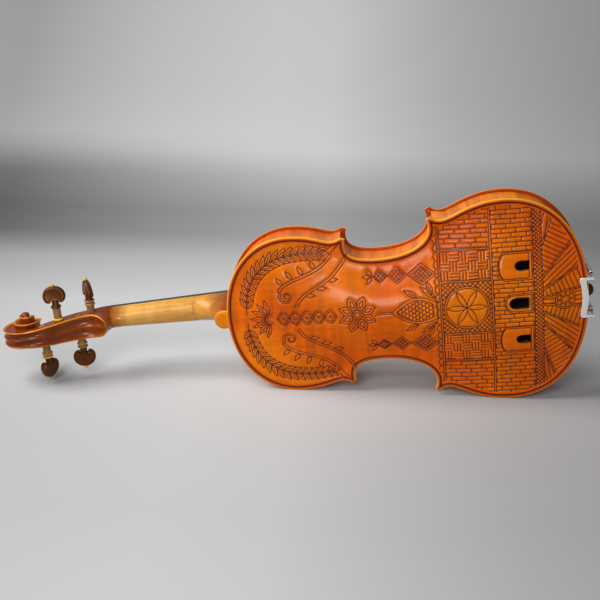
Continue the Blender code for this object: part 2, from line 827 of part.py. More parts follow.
def pegbox():
    rings = []
    for x, back, front, half_back, half_front in PEGBOX:
        flute = FLUTE_DEPTH * between([(-134.0, 1.0), (-125.0, 0.2)], x)
        middle = (back + front) / 2
        bulge = (half_back + half_front) / 2 - between([(-199.0, 1.2), (-185.0, 0.5)], x)
        half = [
            (0.0, back + 0.1 * flute),
            (half_back * 0.48, back + flute),
            (half_back - 1.1, back - 0.1),
            (half_back, back + 0.9),
            (bulge, middle),
            (half_front, front - 1.0),
            (half_front - 0.8, front),
        ]
        ring = [(x, y, z) for z, y in half] + [(x, y, -z) for z, y in half[:0:-1]]
        rings.append(ring)
    return loft("pegbox", rings)


def peg_cavity():
    """The open trough between the cheeks, for the strings' ends."""
    start = NUT_END - 1.6
    end = PEGS[3][0] - PEG_RADIUS - 1.6
    rings = []
    for i in range(7):
        x = start + (end - start) * i / 6
        half = pegbox_at(x, 4) - PEGBOX_WALL * between([(end, 0.86), (start, 1.0)], x)
        floor = peg_line(x) - PEG_RADIUS - PEGBOX_FLOOR / 2
        if i == 0:
            floor = peg_line(PEGS[0][0]) - PEG_RADIUS - PEGBOX_FLOOR / 2 + 1.0
        top = pegbox_at(x, 2) + 12
        outline = ((half, top), (half, floor + 2), (half - 1.5, floor))
        ring = [(x, y, z) for z, y in outline] + [(x, y, -z) for z, y in outline[::-1]]
        rings.append(ring)
    return loft("cavity", rings)


# Scroll: radius and half width of the turning ribbon at each quarter turn, from the back of the head inwards
TURN_RADIUS = (29.5, 22.7, 17.4, 14.7, 13.4, 12.3, 10.8, 7.9, 6.9, 6.2, 5.8)
TURN_HALF = (8.6, 6.8, 6.7, 10.9, 11.3, 11.4, 12.4, 15.8, 16.6, 17.0, 17.2)
# How the ribbon runs out under the pegbox's back before its first quarter turn
LEAD_OUT = 16.0
LEAD_WIDEN = 1.4


def spiral_point(quarter, radius, z):
    turn = -math.pi / 2 - quarter * math.pi / 2
    return (EYE_AT + radius * math.cos(turn), EYE_LIFT + radius * math.sin(turn), z)


def scroll():
    """The volute as one closed skin: a spiral ribbon whose next turn always stands on the foot of the last."""
    start = -0.4
    per_turn = round(4 / SPIRAL_STEP)
    count = round((10 - start) / SPIRAL_STEP)
    radius = []
    half = []
    for i in range(count + 1):
        quarter = start + i * SPIRAL_STEP
        dive = max(0.0, -quarter)
        radius.append(smooth_through(TURN_RADIUS, max(0.0, quarter)) + LEAD_OUT * dive**2)
        half.append(smooth_through(TURN_HALF, max(0.0, quarter)) + LEAD_WIDEN * dive)

    points = []
    index = {}

    def put(key, i, reach, z):
        index[key] = len(points)
        points.append(spiral_point(start + i * SPIRAL_STEP, reach, z))

    for i in range(count + 1):
        inner = radius[i + per_turn] if i + per_turn <= count else EYE_RADIUS - 1.2
        step_in = min(1.0, 0.25 * (radius[i] - inner) + 0.2)
        for side in (1, -1):
            put(("rim", i, side), i, radius[i], side * (half[i] - 0.7))
            put(("edge", i, side), i, radius[i] - 0.5 * step_in, side * half[i])
            put(("lip", i, side), i, radius[i] - 1.3 * step_in, side * (half[i] - 0.9))
            put(("foot", i, side), i, inner, side * (half[i] - 2.0))
    for i in range(per_turn):
        fade = 1.0 if i < per_turn - 4 else (per_turn - i) / 5
        put(("spine", i), i, radius[i] - 0.1 * FLUTE_DEPTH * fade, 0.0)
        for side in (1, -1):
            put(("flute", i, side), i, radius[i] - FLUTE_DEPTH * fade, side * 0.5 * half[i])
    put(("spine", per_turn), per_turn, radius[per_turn], 0.0)
    for side in (1, -1):
        index[("flute", per_turn, side)] = index[("foot", 0, side)]
        put(("hub", side), count, 0.0, side * (half[count] - 3.0))

    faces = []

    def quad(*keys):
        faces.append([index[key] for key in keys])

    for side in (1, -1):
        for i in range(count):
            for a, b in (("rim", "edge"), ("edge", "lip"), ("lip", "foot")):
                quad((a, i, side), (b, i, side), (b, i + 1, side), (a, i + 1, side))
            if i + per_turn < count:
                j = i + per_turn
                quad(("foot", i, side), ("rim", j, side), ("rim", j + 1, side), ("foot", i + 1, side))
            else:
                quad(("foot", i, side), ("foot", i + 1, side), ("hub", side))
        for i in range(per_turn):
            quad(("rim", i, side), ("rim", i + 1, side), ("flute", i + 1, side), ("flute", i, side))
            quad(("flute", i, side), ("flute", i + 1, side), ("spine", i + 1), ("spine", i))
        last = count - per_turn
        quad(
            ("hub", side),
            ("foot", last, side),
            ("rim", count, side),
            ("edge", count, side),
            ("lip", count, side),
            ("foot", count, side),
        )
    ring = [("spine", 0)]
    for name in ("flute", "rim", "edge", "lip", "foot"):
        ring.append((name, 0, 1))
    ring.append(("spine", per_turn))
    for name in ("foot", "lip", "edge", "rim", "flute"):
        ring.append((name, 0, -1))
    quad(*ring)
    return mesh_object("scroll", points, faces)


def eye():
    profile = [
        (-EYE_REACH - 0.6, EYE_RADIUS - 1.6),
        (-EYE_REACH + 0.2, EYE_RADIUS),
        (EYE_REACH - 0.2, EYE_RADIUS),
        (EYE_REACH + 0.6, EYE_RADIUS - 1.6),
    ]
    return revolve("eye", profile, (EYE_AT, EYE_LIFT, 0.0), "z", 18)


# Pegs in order from the nut: place along the box, side of the head, turn of the head, the collar's distance
PEGS = (
    (-142.3, 1, 115.0, 25.4),
    (-155.6, -1, 8.0, 23.6),
    (-172.8, 1, 10.0, 26.6),
    (-188.8, -1, 68.0, 26.4),
)
PEG_NAMES = ("g", "e", "d", "a")
LOOSE_RING = 2


def peg_line(x):
    """Height of the peg holes' centres along the pegbox."""
    return between([(-190.0, -7.3), (-172.8, -1.4), (-155.6, 8.0), (-142.3, 13.6), (-134.0, 16.6)], x)


def peg_radius(reach, margin=0.0):
    """Radius of a peg's taper at a distance along it, measured from the middle towards its head."""
    return PEG_RADIUS + PEG_TAPER * reach + margin


def neck():
    made = neck_shaft()
    join(made, block("tongue", (-2.0, GAP, -TONGUE_HALF), (TONGUE_DEPTH, RIB_HEIGHT - GAP, TONGUE_HALF)))
    box = pegbox()
    cut(box, peg_cavity())
    join(made, box)
    head = scroll()
    join(head, eye())
    join(made, head)
    for x, side, _, _ in PEGS:
        profile = [(-20 * side, peg_radius(-20, GAP)), (20 * side, peg_radius(20, GAP))]
        cut(made, revolve("peg_hole", profile, (x, peg_line(x), 0.0), "z", 14))
    return made


def fingerboard():
    start = NUT_AT + GAP
    end = NUT_AT + BOARD_LENGTH
    rings = []
    for x, hollow in ((start, 0.0), (0.0, 0.0), (5.0, 0.0), (9.0, 2.6), (end, 2.9)):
        half = board_half(x)
        low = glue_line(x)
        ring = [(x, low, -half), (x, low, 2.2 - half), (x, low + hollow, 3.6 - half)]
        ring += [(x, low + 1.9 * hollow, 0.0)]
        ring += [(x, low + hollow, half - 3.6), (x, low, half - 2.2), (x, low, half)]
        ring += [(x, board_top(x, half * k / 5), half * k / 5) for k in range(5, -6, -1)]
        rings.append(ring)
    return loft("fingerboard", rings, "ebony")


# Strings: name, place from bass to treble, radius, height over the end of the fingerboard
STRINGS = (("g", 1.5, 0.42, 5.0), ("d", 0.5, 0.40, 4.8), ("a", -0.5, 0.33, 4.2), ("e", -1.5, 0.20, 3.6))


def string_side(place, spread):
    return place * spread / 3


def string_at_nut(place, radius):
    side = string_side(place, STRING_NUT_SPREAD)
    return (NUT_AT, board_top(NUT_AT, side) + 0.4 + radius, side)


def string_at_bridge(place, radius, lift):
    """Where the string crosses the bridge, on the line from the nut that clears the board's end."""
    end = NUT_AT + BOARD_LENGTH
    x0, y0, z0 = string_at_nut(place, radius)
    z1 = string_side(place, STRING_BRIDGE_SPREAD)
    share = (end - x0) / (BRIDGE_AT - x0)
    over = board_top(end, z0 + (z1 - z0) * share) + lift
    return (BRIDGE_AT, y0 + (over - y0) / share, z1)


def nut():
    rings = []
    for x in (NUT_AT, NUT_AT - 2.2, NUT_END):
        drop = 0.24 * (NUT_AT - x)
        half = BOARD_NUT_HALF - 0.1
        ring = [(x, glue_line(x), -half), (x, glue_line(x), half)]
        ring.append((x, board_top(NUT_AT, half) - drop, half))
        for _, place, radius, _ in STRINGS:
            string = string_at_nut(place, radius)
            low = string[1] - radius - 0.22 - drop
            high = low + 1.1
            wide = radius + 0.3
            for step, y in ((wide + 0.3, high), (wide, low), (-wide, low), (-wide - 0.3, high)):
                ring.append((x, y, string[2] + step))
        ring.append((x, board_top(NUT_AT, half) - drop, -half))
        rings.append(ring)
    return loft("nut", rings, "ebony")


def saddle():
    tail = BODY_LENGTH - 0.4
    low = TOP_FACE + GAP
    high = TOP_FACE + SADDLE_HEIGHT
    outline = [
        (tail - SADDLE_LENGTH, low),
        (tail, low),
        (tail, high - 1.2),
        (tail - 1.2, high - 0.1),
        (tail - 2.4, high),
        (tail - SADDLE_LENGTH, low + 2.2),
    ]
    rings = []
    for z, squeeze in ((-SADDLE_HALF, 0.45), (-GUT_SPREAD, 1.0), (GUT_SPREAD, 1.0), (SADDLE_HALF, 0.45)):
        rings.append([(x, low + (y - low) * squeeze, z) for x, y in outline])
    return loft("saddle", rings, "ebony")


def bridge(over_top):
    """Feet shaped to the arch, waist and side lobes, and a top edge with a groove for each string."""
    base = over_top.height(BRIDGE_AT, 14.0, 90.0, -1)
    tops = [string_at_bridge(place, radius, lift) for _, place, radius, lift in STRINGS]
    height = tops[1][1] - base
    lower = ((5.4, 0.17), (8.0, 0.09))
    outer = ((0.87, 0.06), (0.73, 0.13), (0.68, 0.22), (0.80, 0.31), (0.92, 0.40), (0.87, 0.50))
    notch = ((0.60, 0.50), (0.56, 0.57), (0.66, 0.63), (0.90, 0.60), (0.97, 0.68))
    shoulder = ((0.945, 0.88),)
    right = []
    for z, share in lower:
        right.append((z, base + share * height))
    for z in (8.3, 12.0, 16.0, BRIDGE_FOOT_HALF):
        right.append((z, None))
    for share_z, share in outer + notch + shoulder:
        right.append((BRIDGE_FOOT_HALF * share_z, base + share * height))

    crest = []
    for _, place, radius, lift in STRINGS:
        _, y, z = string_at_bridge(place, radius, lift)
        low = y - radius - BRIDGE_CLEAR
        wide = radius + 0.35
        crest += [(z + wide + 0.3, low + 0.9), (z + wide, low), (z - wide, low), (z - wide - 0.3, low + 0.9)]
    outline = right + crest + [(-z, y) for z, y in right[::-1]] + [(0.0, base + 0.2 * height)]
    rings = []
    for way in (-1, 1):
        ring = []
        for z, y in outline:
            if y is None:
                x = BRIDGE_AT + way * BRIDGE_FOOT_DEPTH / 2
                y = over_top.height(x, z, 90.0, -1) + GAP
            share = min(1.0, max(0.0, (y - base) / height))
            depth = BRIDGE_FOOT_DEPTH + (BRIDGE_TOP_DEPTH - BRIDGE_FOOT_DEPTH) * share
            ring.append((BRIDGE_AT + way * depth / 2, y, z))
        rings.append(ring)
    made = loft("bridge", rings, "bridge")
    middle = base + 0.52 * height
    heart = [(0.0, -4.6), (3.6, 0.4), (4.2, 2.6), (2.8, 4.2), (1.0, 3.4)]
    heart = heart + [(0.0, 2.2)] + [(-z, y) for z, y in heart[:0:-1]]
    heart = [(z, middle + y) for z, y in heart]
    cut(made, prism("heart", heart, BRIDGE_AT - 6, BRIDGE_AT + 6, "x"))
    return made


# Tailpiece


def tail_share(x):
    return (x - TAILPIECE_START) / TAILPIECE_LENGTH


def tail_half(x):
    table = (
        (0.0, TAILPIECE_HALF - 1.4),
        (0.03, TAILPIECE_HALF),
        (0.12, TAILPIECE_HALF - 0.6),
        (0.5, 0.45 * TAILPIECE_HALF + 0.55 * TAILPIECE_TAIL_HALF),
        (0.96, TAILPIECE_TAIL_HALF),
        (1.0, TAILPIECE_TAIL_HALF - 1.4),
    )
    return between(table, tail_share(x))


def tail_top(x, z):
    """Height of the tailpiece's front face: it hangs on the line from the bridge to the saddle."""
    bridge_top = string_at_bridge(*STRINGS[1][1:])[1]
    slope = (bridge_top - TOP_FACE - SADDLE_HEIGHT - 3.0) / (BODY_LENGTH - BRIDGE_AT)
    crown = 5.0 - 3.0 * tail_share(x)
    return bridge_top - slope * (x - BRIDGE_AT) - crown * (z / tail_half(x)) ** 2


TAIL_HOLE_AT = 17.5
TAIL_HOLE_RADIUS = 2.3
TAIL_SLOT_LENGTH = 7.0


def tailpiece():
    rings = []
    for share in (0.0, 0.03, 0.12, 0.3, 0.5, 0.75, 0.96, 1.0):
        x = TAILPIECE_START + share * TAILPIECE_LENGTH
        half = tail_half(x)
        steps = [half * k / 4 for k in range(-4, 5)]
        thin = TAILPIECE_THICKNESS - (1.0 if share in (0.0, 1.0) else 0.0)
        ring = [(x, tail_top(x, z), z) for z in steps]
        ring += [(x, tail_top(x, z) - thin * (1 - 0.35 * (z / half) ** 2), z) for z in steps[::-1]]
        rings.append(ring)
    made = loft("tailpiece", rings, "rosewood")
    hole_x = TAILPIECE_START + TAIL_HOLE_AT
    for name, place, radius, _ in STRINGS:
        if name == "e":
            continue
        side = string_side(place, STRING_TAIL_SPREAD)
        low = tail_top(hole_x, side) - 12
        cut(made, prism("hole", circle(TAIL_HOLE_RADIUS, 14, (hole_x, side)), low, low + 24))
        wide = radius + 0.4
        slot = ((hole_x - TAIL_SLOT_LENGTH, low, side - wide), (hole_x, low + 24, side + wide))
        cut(made, block("slot", slot[0], slot[1]))
    for side in (1, -1):
        place = gut_start(side)
        reach = TAILPIECE_END - place[0] + 5
        cut(made, rod("gut_hole", place, "x", -GAP, reach, GUT_RADIUS + GAP, 12))
    return made


def gut_start(side):
    """Where one leg of the tail gut ends inside the tailpiece."""
    middle = tail_top(TAILPIECE_END - 3, 0.0) - TAILPIECE_THICKNESS / 2
    return (TAILPIECE_END - 8.0, middle, side * GUT_SPREAD / 2)


def curve_object(name, points, radii, kind, rounding):
    """A round tube on a line of points, in millimetres, with closed ends."""
    data = bpy.data.curves.new(name, "CURVE")
    data.dimensions = "3D"
    data.bevel_depth = MM
    data.bevel_resolution = rounding
    data.use_fill_caps = True
    spline = data.splines.new("POLY")
    spline.points.add(len(points) - 1)
    for spot, point, radius in zip(spline.points, points, radii):
        spot.co = (*(Vector(point) * MM), 1.0)
        spot.radius = radius
    return add_object(name, data, kind)


def tail_gut():
    """One cord from the tailpiece over the saddle, round the end button's neck and back."""
    reach = BODY_LENGTH + GAP + 2 * GUT_RADIUS
    over = TOP_FACE + SADDLE_HEIGHT + GAP + GUT_RADIUS
    loop = BUTTON_PIN + GAP + GUT_RADIUS
    neck_x = BODY_LENGTH - OVERHANG + GAP + GUT_RADIUS
    half = GUT_SPREAD / 2
    start = gut_start(1)
    leg = [
        start,
        (TAILPIECE_END + 1.5, start[1], half),
        (BODY_LENGTH - 3.6, over + 0.15, half),
        (BODY_LENGTH - 1.4, over - 0.1, half),
        (reach - 0.4, over - 1.4, half),
        (reach, over - 3.4, half),
        (reach, RIB_HEIGHT - 1.0, half + 0.4),
        (reach - 0.8, RIB_HEIGHT - 4.0, half + 0.7),
        (neck_x, BUTTON_LIFT + loop, half + 1.2),
    ]
    turn = []
    for i in range(9):
        angle = math.radians(10 - 200 * i / 8)
        turn.append((neck_x, BUTTON_LIFT + loop * math.sin(angle), loop * math.cos(angle)))
    points = leg + turn + [(x, y, -z) for x, y, z in leg[::-1]]
    return curve_object("tail_gut", points, [GUT_RADIUS] * len(points), "cord", 1)


def end_button():
    head = BODY_LENGTH - OVERHANG + GAP + 2 * GUT_RADIUS + 0.5
    profile = (
        (BODY_LENGTH - 22.0, BUTTON_PIN - 0.6),
        (head, BUTTON_PIN),
        (head + 0.1, BUTTON_HEAD - 0.8),
        (head + 1.4, BUTTON_HEAD),
        (head + 4.2, BUTTON_HEAD - 0.4),
        (head + 6.4, BUTTON_HEAD - 2.2),
        (head + 7.4, 1.6),
    )
    return revolve("end_button", profile, (0.0, BUTTON_LIFT, 0.0), "x", 20, "rosewood")


# Pegs


def lobed_head(side, base, turn):
    """The peg's flat round grip with two lobes beside its stem, thinner towards its end, turned about the peg."""
    half = (
        (0.115, 0.31),
        (0.02, 0.43),
        (0.00, 0.58),
        (0.05, 0.77),
        (0.17, 0.92),
        (0.36, 1.00),
        (0.56, 0.96),
        (0.75, 0.81),
        (0.90, 0.55),
        (0.99, 0.20),
    )
    outline = [(wide * HEAD_WIDTH / 2, reach * HEAD_LENGTH) for reach, wide in half]
    outline = outline + [(-a, b) for a, b in outline[::-1]]
    middle = HEAD_LENGTH * 0.5
    angle = math.radians(turn)
    rings = []
    for depth, shrink in ((-0.5, 0.80), (-0.24, 1.0), (0.24, 1.0), (0.5, 0.80)):
        ring = []
        for a, b in outline:
            a = a * shrink
            b = middle + (b - middle) * shrink
            c = depth * HEAD_THICKNESS * (1.08 - 0.45 * b / HEAD_LENGTH)
            ring.append((a * math.cos(angle) - c * math.sin(angle), b, a * math.sin(angle) + c * math.cos(angle)))
        rings.append([(x, y, side * (base + reach)) for x, reach, y in ring])
    return loft("head", rings)


def peg(name, x, side, turn, collar):
    y = peg_line(x)
    far = PEG_BEVEL - PEG_OVERRUN - pegbox_at(x, 4)
    profile = [
        (far - PEG_BEVEL, peg_radius(far) - PEG_BEVEL),
        (far, peg_radius(far)),
        (collar - 3.0, peg_radius(collar)),
        (collar + 0.4, RING_RADIUS - 1.2),
        (collar + 2.4, STEM_RADIUS),
        (collar + HEAD_RISE + 4.0, STEM_RADIUS - 0.3),
    ]
    profile = [(side * reach, radius) for reach, radius in profile]
    made = revolve(name, profile, (x, y, 0.0), "z", 16, "rosewood")
    grip = lobed_head(side, collar + HEAD_RISE, turn)
    grip.data.transform(Matrix.Translation(Vector((x, y, 0.0)) * MM))
    join(made, grip)
    tip = collar + HEAD_RISE + HEAD_LENGTH + 0.9
    bead = []
    for i in range(5):
        angle = math.pi * (0.06 + 0.88 * i / 4)
        bead.append((side * (tip - BEAD_RADIUS * math.cos(angle)), BEAD_RADIUS * math.sin(angle)))
    join(made, revolve("bead", bead, (x, y, 0.0), "z", 10))
    move_origin(made, x, y)
    return made


def peg_ring(name, x, side, at):
    """A boxwood ring round a peg's shaft."""
    y = peg_line(x)
    inner = peg_radius(at) + GAP
    shape = (
        (-0.5, inner),
        (-0.5, RING_RADIUS - 0.7),
        (-0.15, RING_RADIUS),
        (0.15, RING_RADIUS),
        (0.5, RING_RADIUS - 0.7),
        (0.5, inner),
    )
    count = 12
    points = []
    faces = []
    size = len(shape)
    for i in range(count):
        angle = 2 * math.pi * i / count
        for step, radius in shape:
            z = side * (at + step * RING_WIDTH)
            points.append((x + radius * math.cos(angle), y + radius * math.sin(angle), z))
        for k in range(size):
            a, b = i * size + k, i * size + (k + 1) % size
            c, d = ((i + 1) % count) * size + (k + 1) % size, ((i + 1) % count) * size + k
            faces.append([a, b, c, d])
    made = mesh_object(name, points, faces, "boxwood")
    move_origin(made, x, y)
    return made


def pegs():
    for number, (x, side, turn, collar) in enumerate(PEGS):
        word = PEG_NAMES[number]
        peg(f"peg_{word}", x, side, turn, collar)
        at = collar - 3.0 - GAP - RING_WIDTH / 2
        if number == LOOSE_RING:
            at = pegbox_at(x, 3) + GAP + RING_WIDTH / 2
        peg_ring(f"peg_ring_{word}", x, side, at)


def winding(number, radius, aim):
    """Turns of a string round its peg, from its end to where it leaves towards the nut."""
    x, side, _, _ = PEGS[number]
    y = peg_line(x)
    coil = peg_radius(0.0) + GAP + radius + 0.15
    away = Vector((aim[0] - x, aim[1] - y))
    leave = math.atan2(away.y, away.x) + math.acos(coil / away.length)
    pitch = 2 * radius + WINDING_GAP
    steps = WINDING_STEPS * WINDING_TURNS
    points = []
    for i in range(steps, -1, -1):
        angle = leave + 2 * math.pi * i / WINDING_STEPS
        z = side * (pitch * i / WINDING_STEPS - 0.6)
        points.append((x + coil * math.cos(angle), y + coil * math.sin(angle), z))
    return points


def least_gap(points, radius):
    """The least clearance between turns of a tube, over points more than half a turn apart."""
    least = math.inf
    for i, first in enumerate(points):
        for second in points[i + WINDING_STEPS // 2:]:
            least = min(least, math.dist(first, second) - 2 * radius)
    return least


def string(name, place, radius, lift):
    nut_front = string_at_nut(place, radius)
    nut_back = (NUT_END - 0.4, nut_front[1] - 0.24 * (NUT_LENGTH + 0.4), nut_front[2])
    coil = winding(PEG_NAMES.index(name), radius, nut_back)
    crossing = string_at_bridge(place, radius, lift)
    side = string_side(place, STRING_TAIL_SPREAD)
    hole_x = TAILPIECE_START + TAIL_HOLE_AT
    slot_x = hole_x - TAIL_SLOT_LENGTH
    points = coil + [nut_back, nut_front, crossing]
    radii = [radius] * len(points)
    if name == "e":
        hook = tuner_seat()
        points.append((hook[0] - 0.4, hook[1] + HOOK_LIFT, side))
        points.append((hook[0] + 2.2, hook[1] + HOOK_LIFT - 0.1, side))
        radii += [radius] * 2
        ball = points[-1]
        way = Vector((1.0, 0.0, 0.0))
    else:
        points.append((slot_x, tail_top(slot_x, side) + GAP + radius, side))
        points.append((slot_x + 3.0, tail_top(slot_x, side) - 1.4, side))
        points.append((hole_x - 0.4, tail_top(hole_x, side) - 2.6, side))
        radii += [radius] * 3
        ball = points[-1]
        way = Vector((0.35, -0.94, 0.0))
    for reach, size in ((0.35, 0.9), (0.9, 1.25), (1.7, 1.25), (2.3, 0.7)):
        points.append(tuple(Vector(ball) + way * reach))
        radii.append(size)
    made = curve_object(f"string_{name}", points, radii, "steel", 1)
    print(f"string_{name}: least gap between turns {least_gap(coil, radius):.2f} mm")
    return made


# Fine tuner of the top string: it sits on the tailpiece
TUNER_WIDTH = 7.2
TUNER_LENGTH = 18.0
TUNER_WALL = 1.3
HOOK_LIFT = 5.2
SCREW_RADIUS = 1.3
SCREW_HEAD = 3.9


def tuner_seat():
    """Front end of the tuner's base: x, height and side."""
    side = string_side(STRINGS[3][1], STRING_TAIL_SPREAD)
    x = TAILPIECE_START + 9.0
    half = TUNER_WIDTH / 2
    spots = [(a, side + b) for a in (x, x + TUNER_LENGTH) for b in (-half, 0.0, half)]
    return (x, max(tail_top(a, b) for a, b in spots) + 0.15, side)


def screw_axis():
    x, _, side = tuner_seat()
    return (x + TUNER_LENGTH - 3.4, side)


def tuner_pivot():
    x, y, _ = tuner_seat()
    return (x + 6.0, y + 2.6)


def tuner_body():
    x, y, side = tuner_seat()
    half = TUNER_WIDTH / 2
    end = x + TUNER_LENGTH
    rings = []
    for a in (x, end):
        low = [tail_top(a, side + b) + GAP for b in (-half, half)]
        ring = [(a, low[0], side - half), (a, low[1], side + half), (a, y + 0.9, side + half)]
        rings.append(ring + [(a, y + 0.9, side - half)])
    made = loft("tuner_body", rings, "steel")
    for way in (1, -1):
        inner = half - TUNER_WALL
        outline = ((x + 2.6, y + 0.4), (x + 3.2, y + 4.2), (x + 6.4, y + 6.9), (end, y + 6.9), (end, y + 0.4))
        low, high = sorted((side + way * inner, side + way * half))
        join(made, prism("cheek", outline, low, high, "z"))
    screw_x, _ = screw_axis()
    bridge_low = (screw_x - 3.2, y + 5.2, side - half + 0.2)
    bridge_high = (end - 0.2, y + 6.7, side + half - 0.2)
    join(made, block("arch", bridge_low, bridge_high))
    cut(made, rod("thread", (screw_x, y, side), "y", 4.0, 9.0, SCREW_RADIUS + GAP, 12))
    pivot = tuner_pivot()
    cut(made, rod("pivot", (*pivot, side), "z", -6.0, 6.0, 0.8 + GAP, 12))
    return made


def tuner_lever():
    x, y, side = tuner_seat()
    pivot = tuner_pivot()
    half = TUNER_WIDTH / 2 - TUNER_WALL - GAP
    screw_x, _ = screw_axis()
    outline = (
        (x - 0.6, y + 6.6),
        (x + 0.4, y + 6.6),
        (x + 1.4, y + 2.9),
        (x + 4.4, y + 2.9),
        (pivot[0] - 0.7, pivot[1] + 1.2),
        (pivot[0] + 0.7, pivot[1] + 1.2),
        (screw_x + 1.6, pivot[1] + 0.7),
        (screw_x + 1.6, pivot[1] - 0.5),
        (pivot[0], pivot[1] - 1.2),
        (x + 0.6, y + 1.6),
        (x - 0.8, y + 3.0),
    )
    made = prism("tuner_lever", outline, side - half, side + half, "z", "steel")
    slot = STRINGS[3][2] + 0.4
    cut(made, block("fork", (x - 4, y + 4.2, side - slot), (x + 3.4, y + 9, side + slot)))
    join(made, rod("pin", (*pivot, side), "z", -TUNER_WIDTH / 2 + 0.2, TUNER_WIDTH / 2 - 0.2, 0.8, 12))
    move_origin(made, *pivot, side)
    return made


def tuner_screw():
    screw_x, side = screw_axis()
    y = tuner_seat()[1]
    tip = tuner_pivot()[1] + 0.7 + GAP + 0.1
    profile = (
        (tip, SCREW_RADIUS - 0.5),
        (tip + 0.4, SCREW_RADIUS),
        (y + 8.6, SCREW_RADIUS),
        (y + 8.7, SCREW_HEAD - 0.6),
        (y + 9.2, SCREW_HEAD),
        (y + 11.6, SCREW_HEAD),
        (y + 12.2, SCREW_HEAD - 0.7),
    )
    made = revolve("tuner_screw", profile, (screw_x, 0.0, side), "y", 12, "steel")
    for i in range(6):
        angle = math.pi * (i + 0.5) / 3
        groove = (screw_x + SCREW_HEAD * math.cos(angle), 0.0, side + SCREW_HEAD * math.sin(angle))
        cut(made, rod("knurl", groove, "y", y + 8.0, y + 13.0, 0.55, 6))
    move_origin(made, screw_x, y + 8.0, side)
    return made


# Chin rest


def rest_level():
    """Underside of the chin rest's two feet."""
    return TOP_FACE + GAP + REST_CORK + GAP


def closed_curve(knots, steps):
    """A smooth closed line through knots, with the given number of points between two of them."""
    count = len(knots)
    points = []
    for i in range(count):
        run = [knots[(i + k) % count] for k in (-1, 0, 1, 2)]
        for step in range(steps):
            where = 1 + step / steps
            points.append(tuple(smooth_through([knot[axis] for knot in run], where) for axis in (0, 1)))
    return points


def rest_outline():
    """The chin rest from above: a cup beside the tailpiece that narrows to a table across the tail."""
    front = BODY_LENGTH - 18.5
    back = CLAMP_AT + REST_LIP
    half = POST_SPREAD / 2 + 10.0
    inner = CUP_SIDE - CUP_WIDTH
    outer = CUP_SIDE + CUP_WIDTH
    knots = (
        (back, -7.0),
        (back, 7.0),
        (back - 1.0, half - 9.0),
        (back - 7.0, half + 1.0),
        (front + 7.0, CUP_SIDE - 1.0),
        (front - 4.0, outer - 13.5),
        (CUP_AT + 17.0, outer - 2.0),
        (CUP_AT - 3.0, outer),
        (CUP_AT - 22.5, outer - 7.5),
        (CUP_AT - 34.5, CUP_SIDE + 9.0),
        (CUP_AT - 35.5, CUP_SIDE - 7.5),
        (CUP_AT - 28.0, inner + 10.0),
        (CUP_AT - 14.0, inner + 2.0),
        (CUP_AT + 4.0, inner - 1.0),
        (CUP_AT + 20.0, inner - 4.5),
        (front - 6.0, inner - 12.0),
        (front - 1.0, -11.0),
        (front + 1.5, 7.0 - half),
        (front + 7.0, -half),
        (back - 8.0, -half),
        (back - 1.5, 8.0 - half),
    )
    return closed_curve(knots, 2)


def cup_reach(x, z):
    """Distance from the cup's middle as a share of its rim."""
    return math.hypot((x - CUP_AT) / CUP_LENGTH, (z - CUP_SIDE + 0.12 * (x - CUP_AT)) / CUP_WIDTH)


def table_share(x):
    """How far the cup has turned into the flat table at x."""
    t = min(1.0, max(0.0, (x - CUP_AT - 0.72 * CUP_LENGTH) / (0.5 * CUP_LENGTH)))
    return t * t * (3 - 2 * t)


def rest_under(x, z):
    bowl = 5.8 * min(1.0, cup_reach(x, z)) ** 3 - 1.2
    return rest_level() + REST_SPAN_RISE + bowl * (1 - table_share(x))


def rest_over(x, z):
    bowl = CUP_WALL - 1.2 + CUP_RIM * min(1.0, cup_reach(x, z) / 0.95) ** 2.4
    share = table_share(x)
    return rest_level() + REST_SPAN_RISE + bowl * (1 - share) + REST_TABLE * share


def chin_rest():
    """A hollowed cup and its table in one skin, on two feet beside the saddle."""
    outline = rest_outline()
    steps = ((0.36, "under"), (0.78, "under"), (1.00, "middle"))
    steps += ((0.975, "over"), (0.86, "over"), (0.66, "over"), (0.34, "over"))
    rings = []
    for share, level in steps:
        ring = []
        for a, b in outline:
            x, z = CUP_AT + (a - CUP_AT) * share, CUP_SIDE + (b - CUP_SIDE) * share
            low, high = rest_under(x, z), rest_over(x, z)
            y = {"under": low, "middle": 0.45 * low + 0.55 * high, "over": high}[level]
            ring.append((x, y, z))
        rings.append(ring)
    made = loft("chin_rest", rings, "rosewood")
    inner = SADDLE_HALF + 0.8
    for side in (1, -1):
        near, far = sorted((side * inner, side * (inner + REST_FOOT)))
        low = (BODY_LENGTH - 13.5, rest_level(), near)
        high = (BODY_LENGTH - 2.5, rest_level() + REST_SPAN_RISE + 0.6 * REST_TABLE, far)
        join(made, block("foot", low, high))
    return made


def rest_corks():
    for side, word in ((1, "bass"), (-1, "treble")):
        low, high = TOP_FACE + GAP, TOP_FACE + GAP + REST_CORK
        inner = SADDLE_HALF + 1.0
        spans = sorted((side * inner, side * (inner + REST_FOOT - 0.6)))
        start, end = BODY_LENGTH - 11.0, BODY_LENGTH - 3.6
        block(f"rest_cork_{word}", (start, low, spans[0]), (end, high, spans[1]), "cork")


def upper_bracket():
    """Bar under the chin rest's tail lip with two rods down into the barrels."""
    level = rest_level() + REST_SPAN_RISE - GAP
    half = POST_SPREAD / 2
    low = (BODY_LENGTH + GAP, level - 1.6, -half - 3.0)
    high = (CLAMP_AT + REST_LIP - GAP, level, half + 3.0)
    made = block("clamp_bracket", low, high, "steel")
    inside = BARREL_LOW + BARREL_LENGTH * 0.58
    for side in (1, -1):
        place = (CLAMP_AT, 0.0, side * half)
        join(made, rod("rod", place, "y", inside, level - 0.8, CLAMP_ROD, 12))
    return made


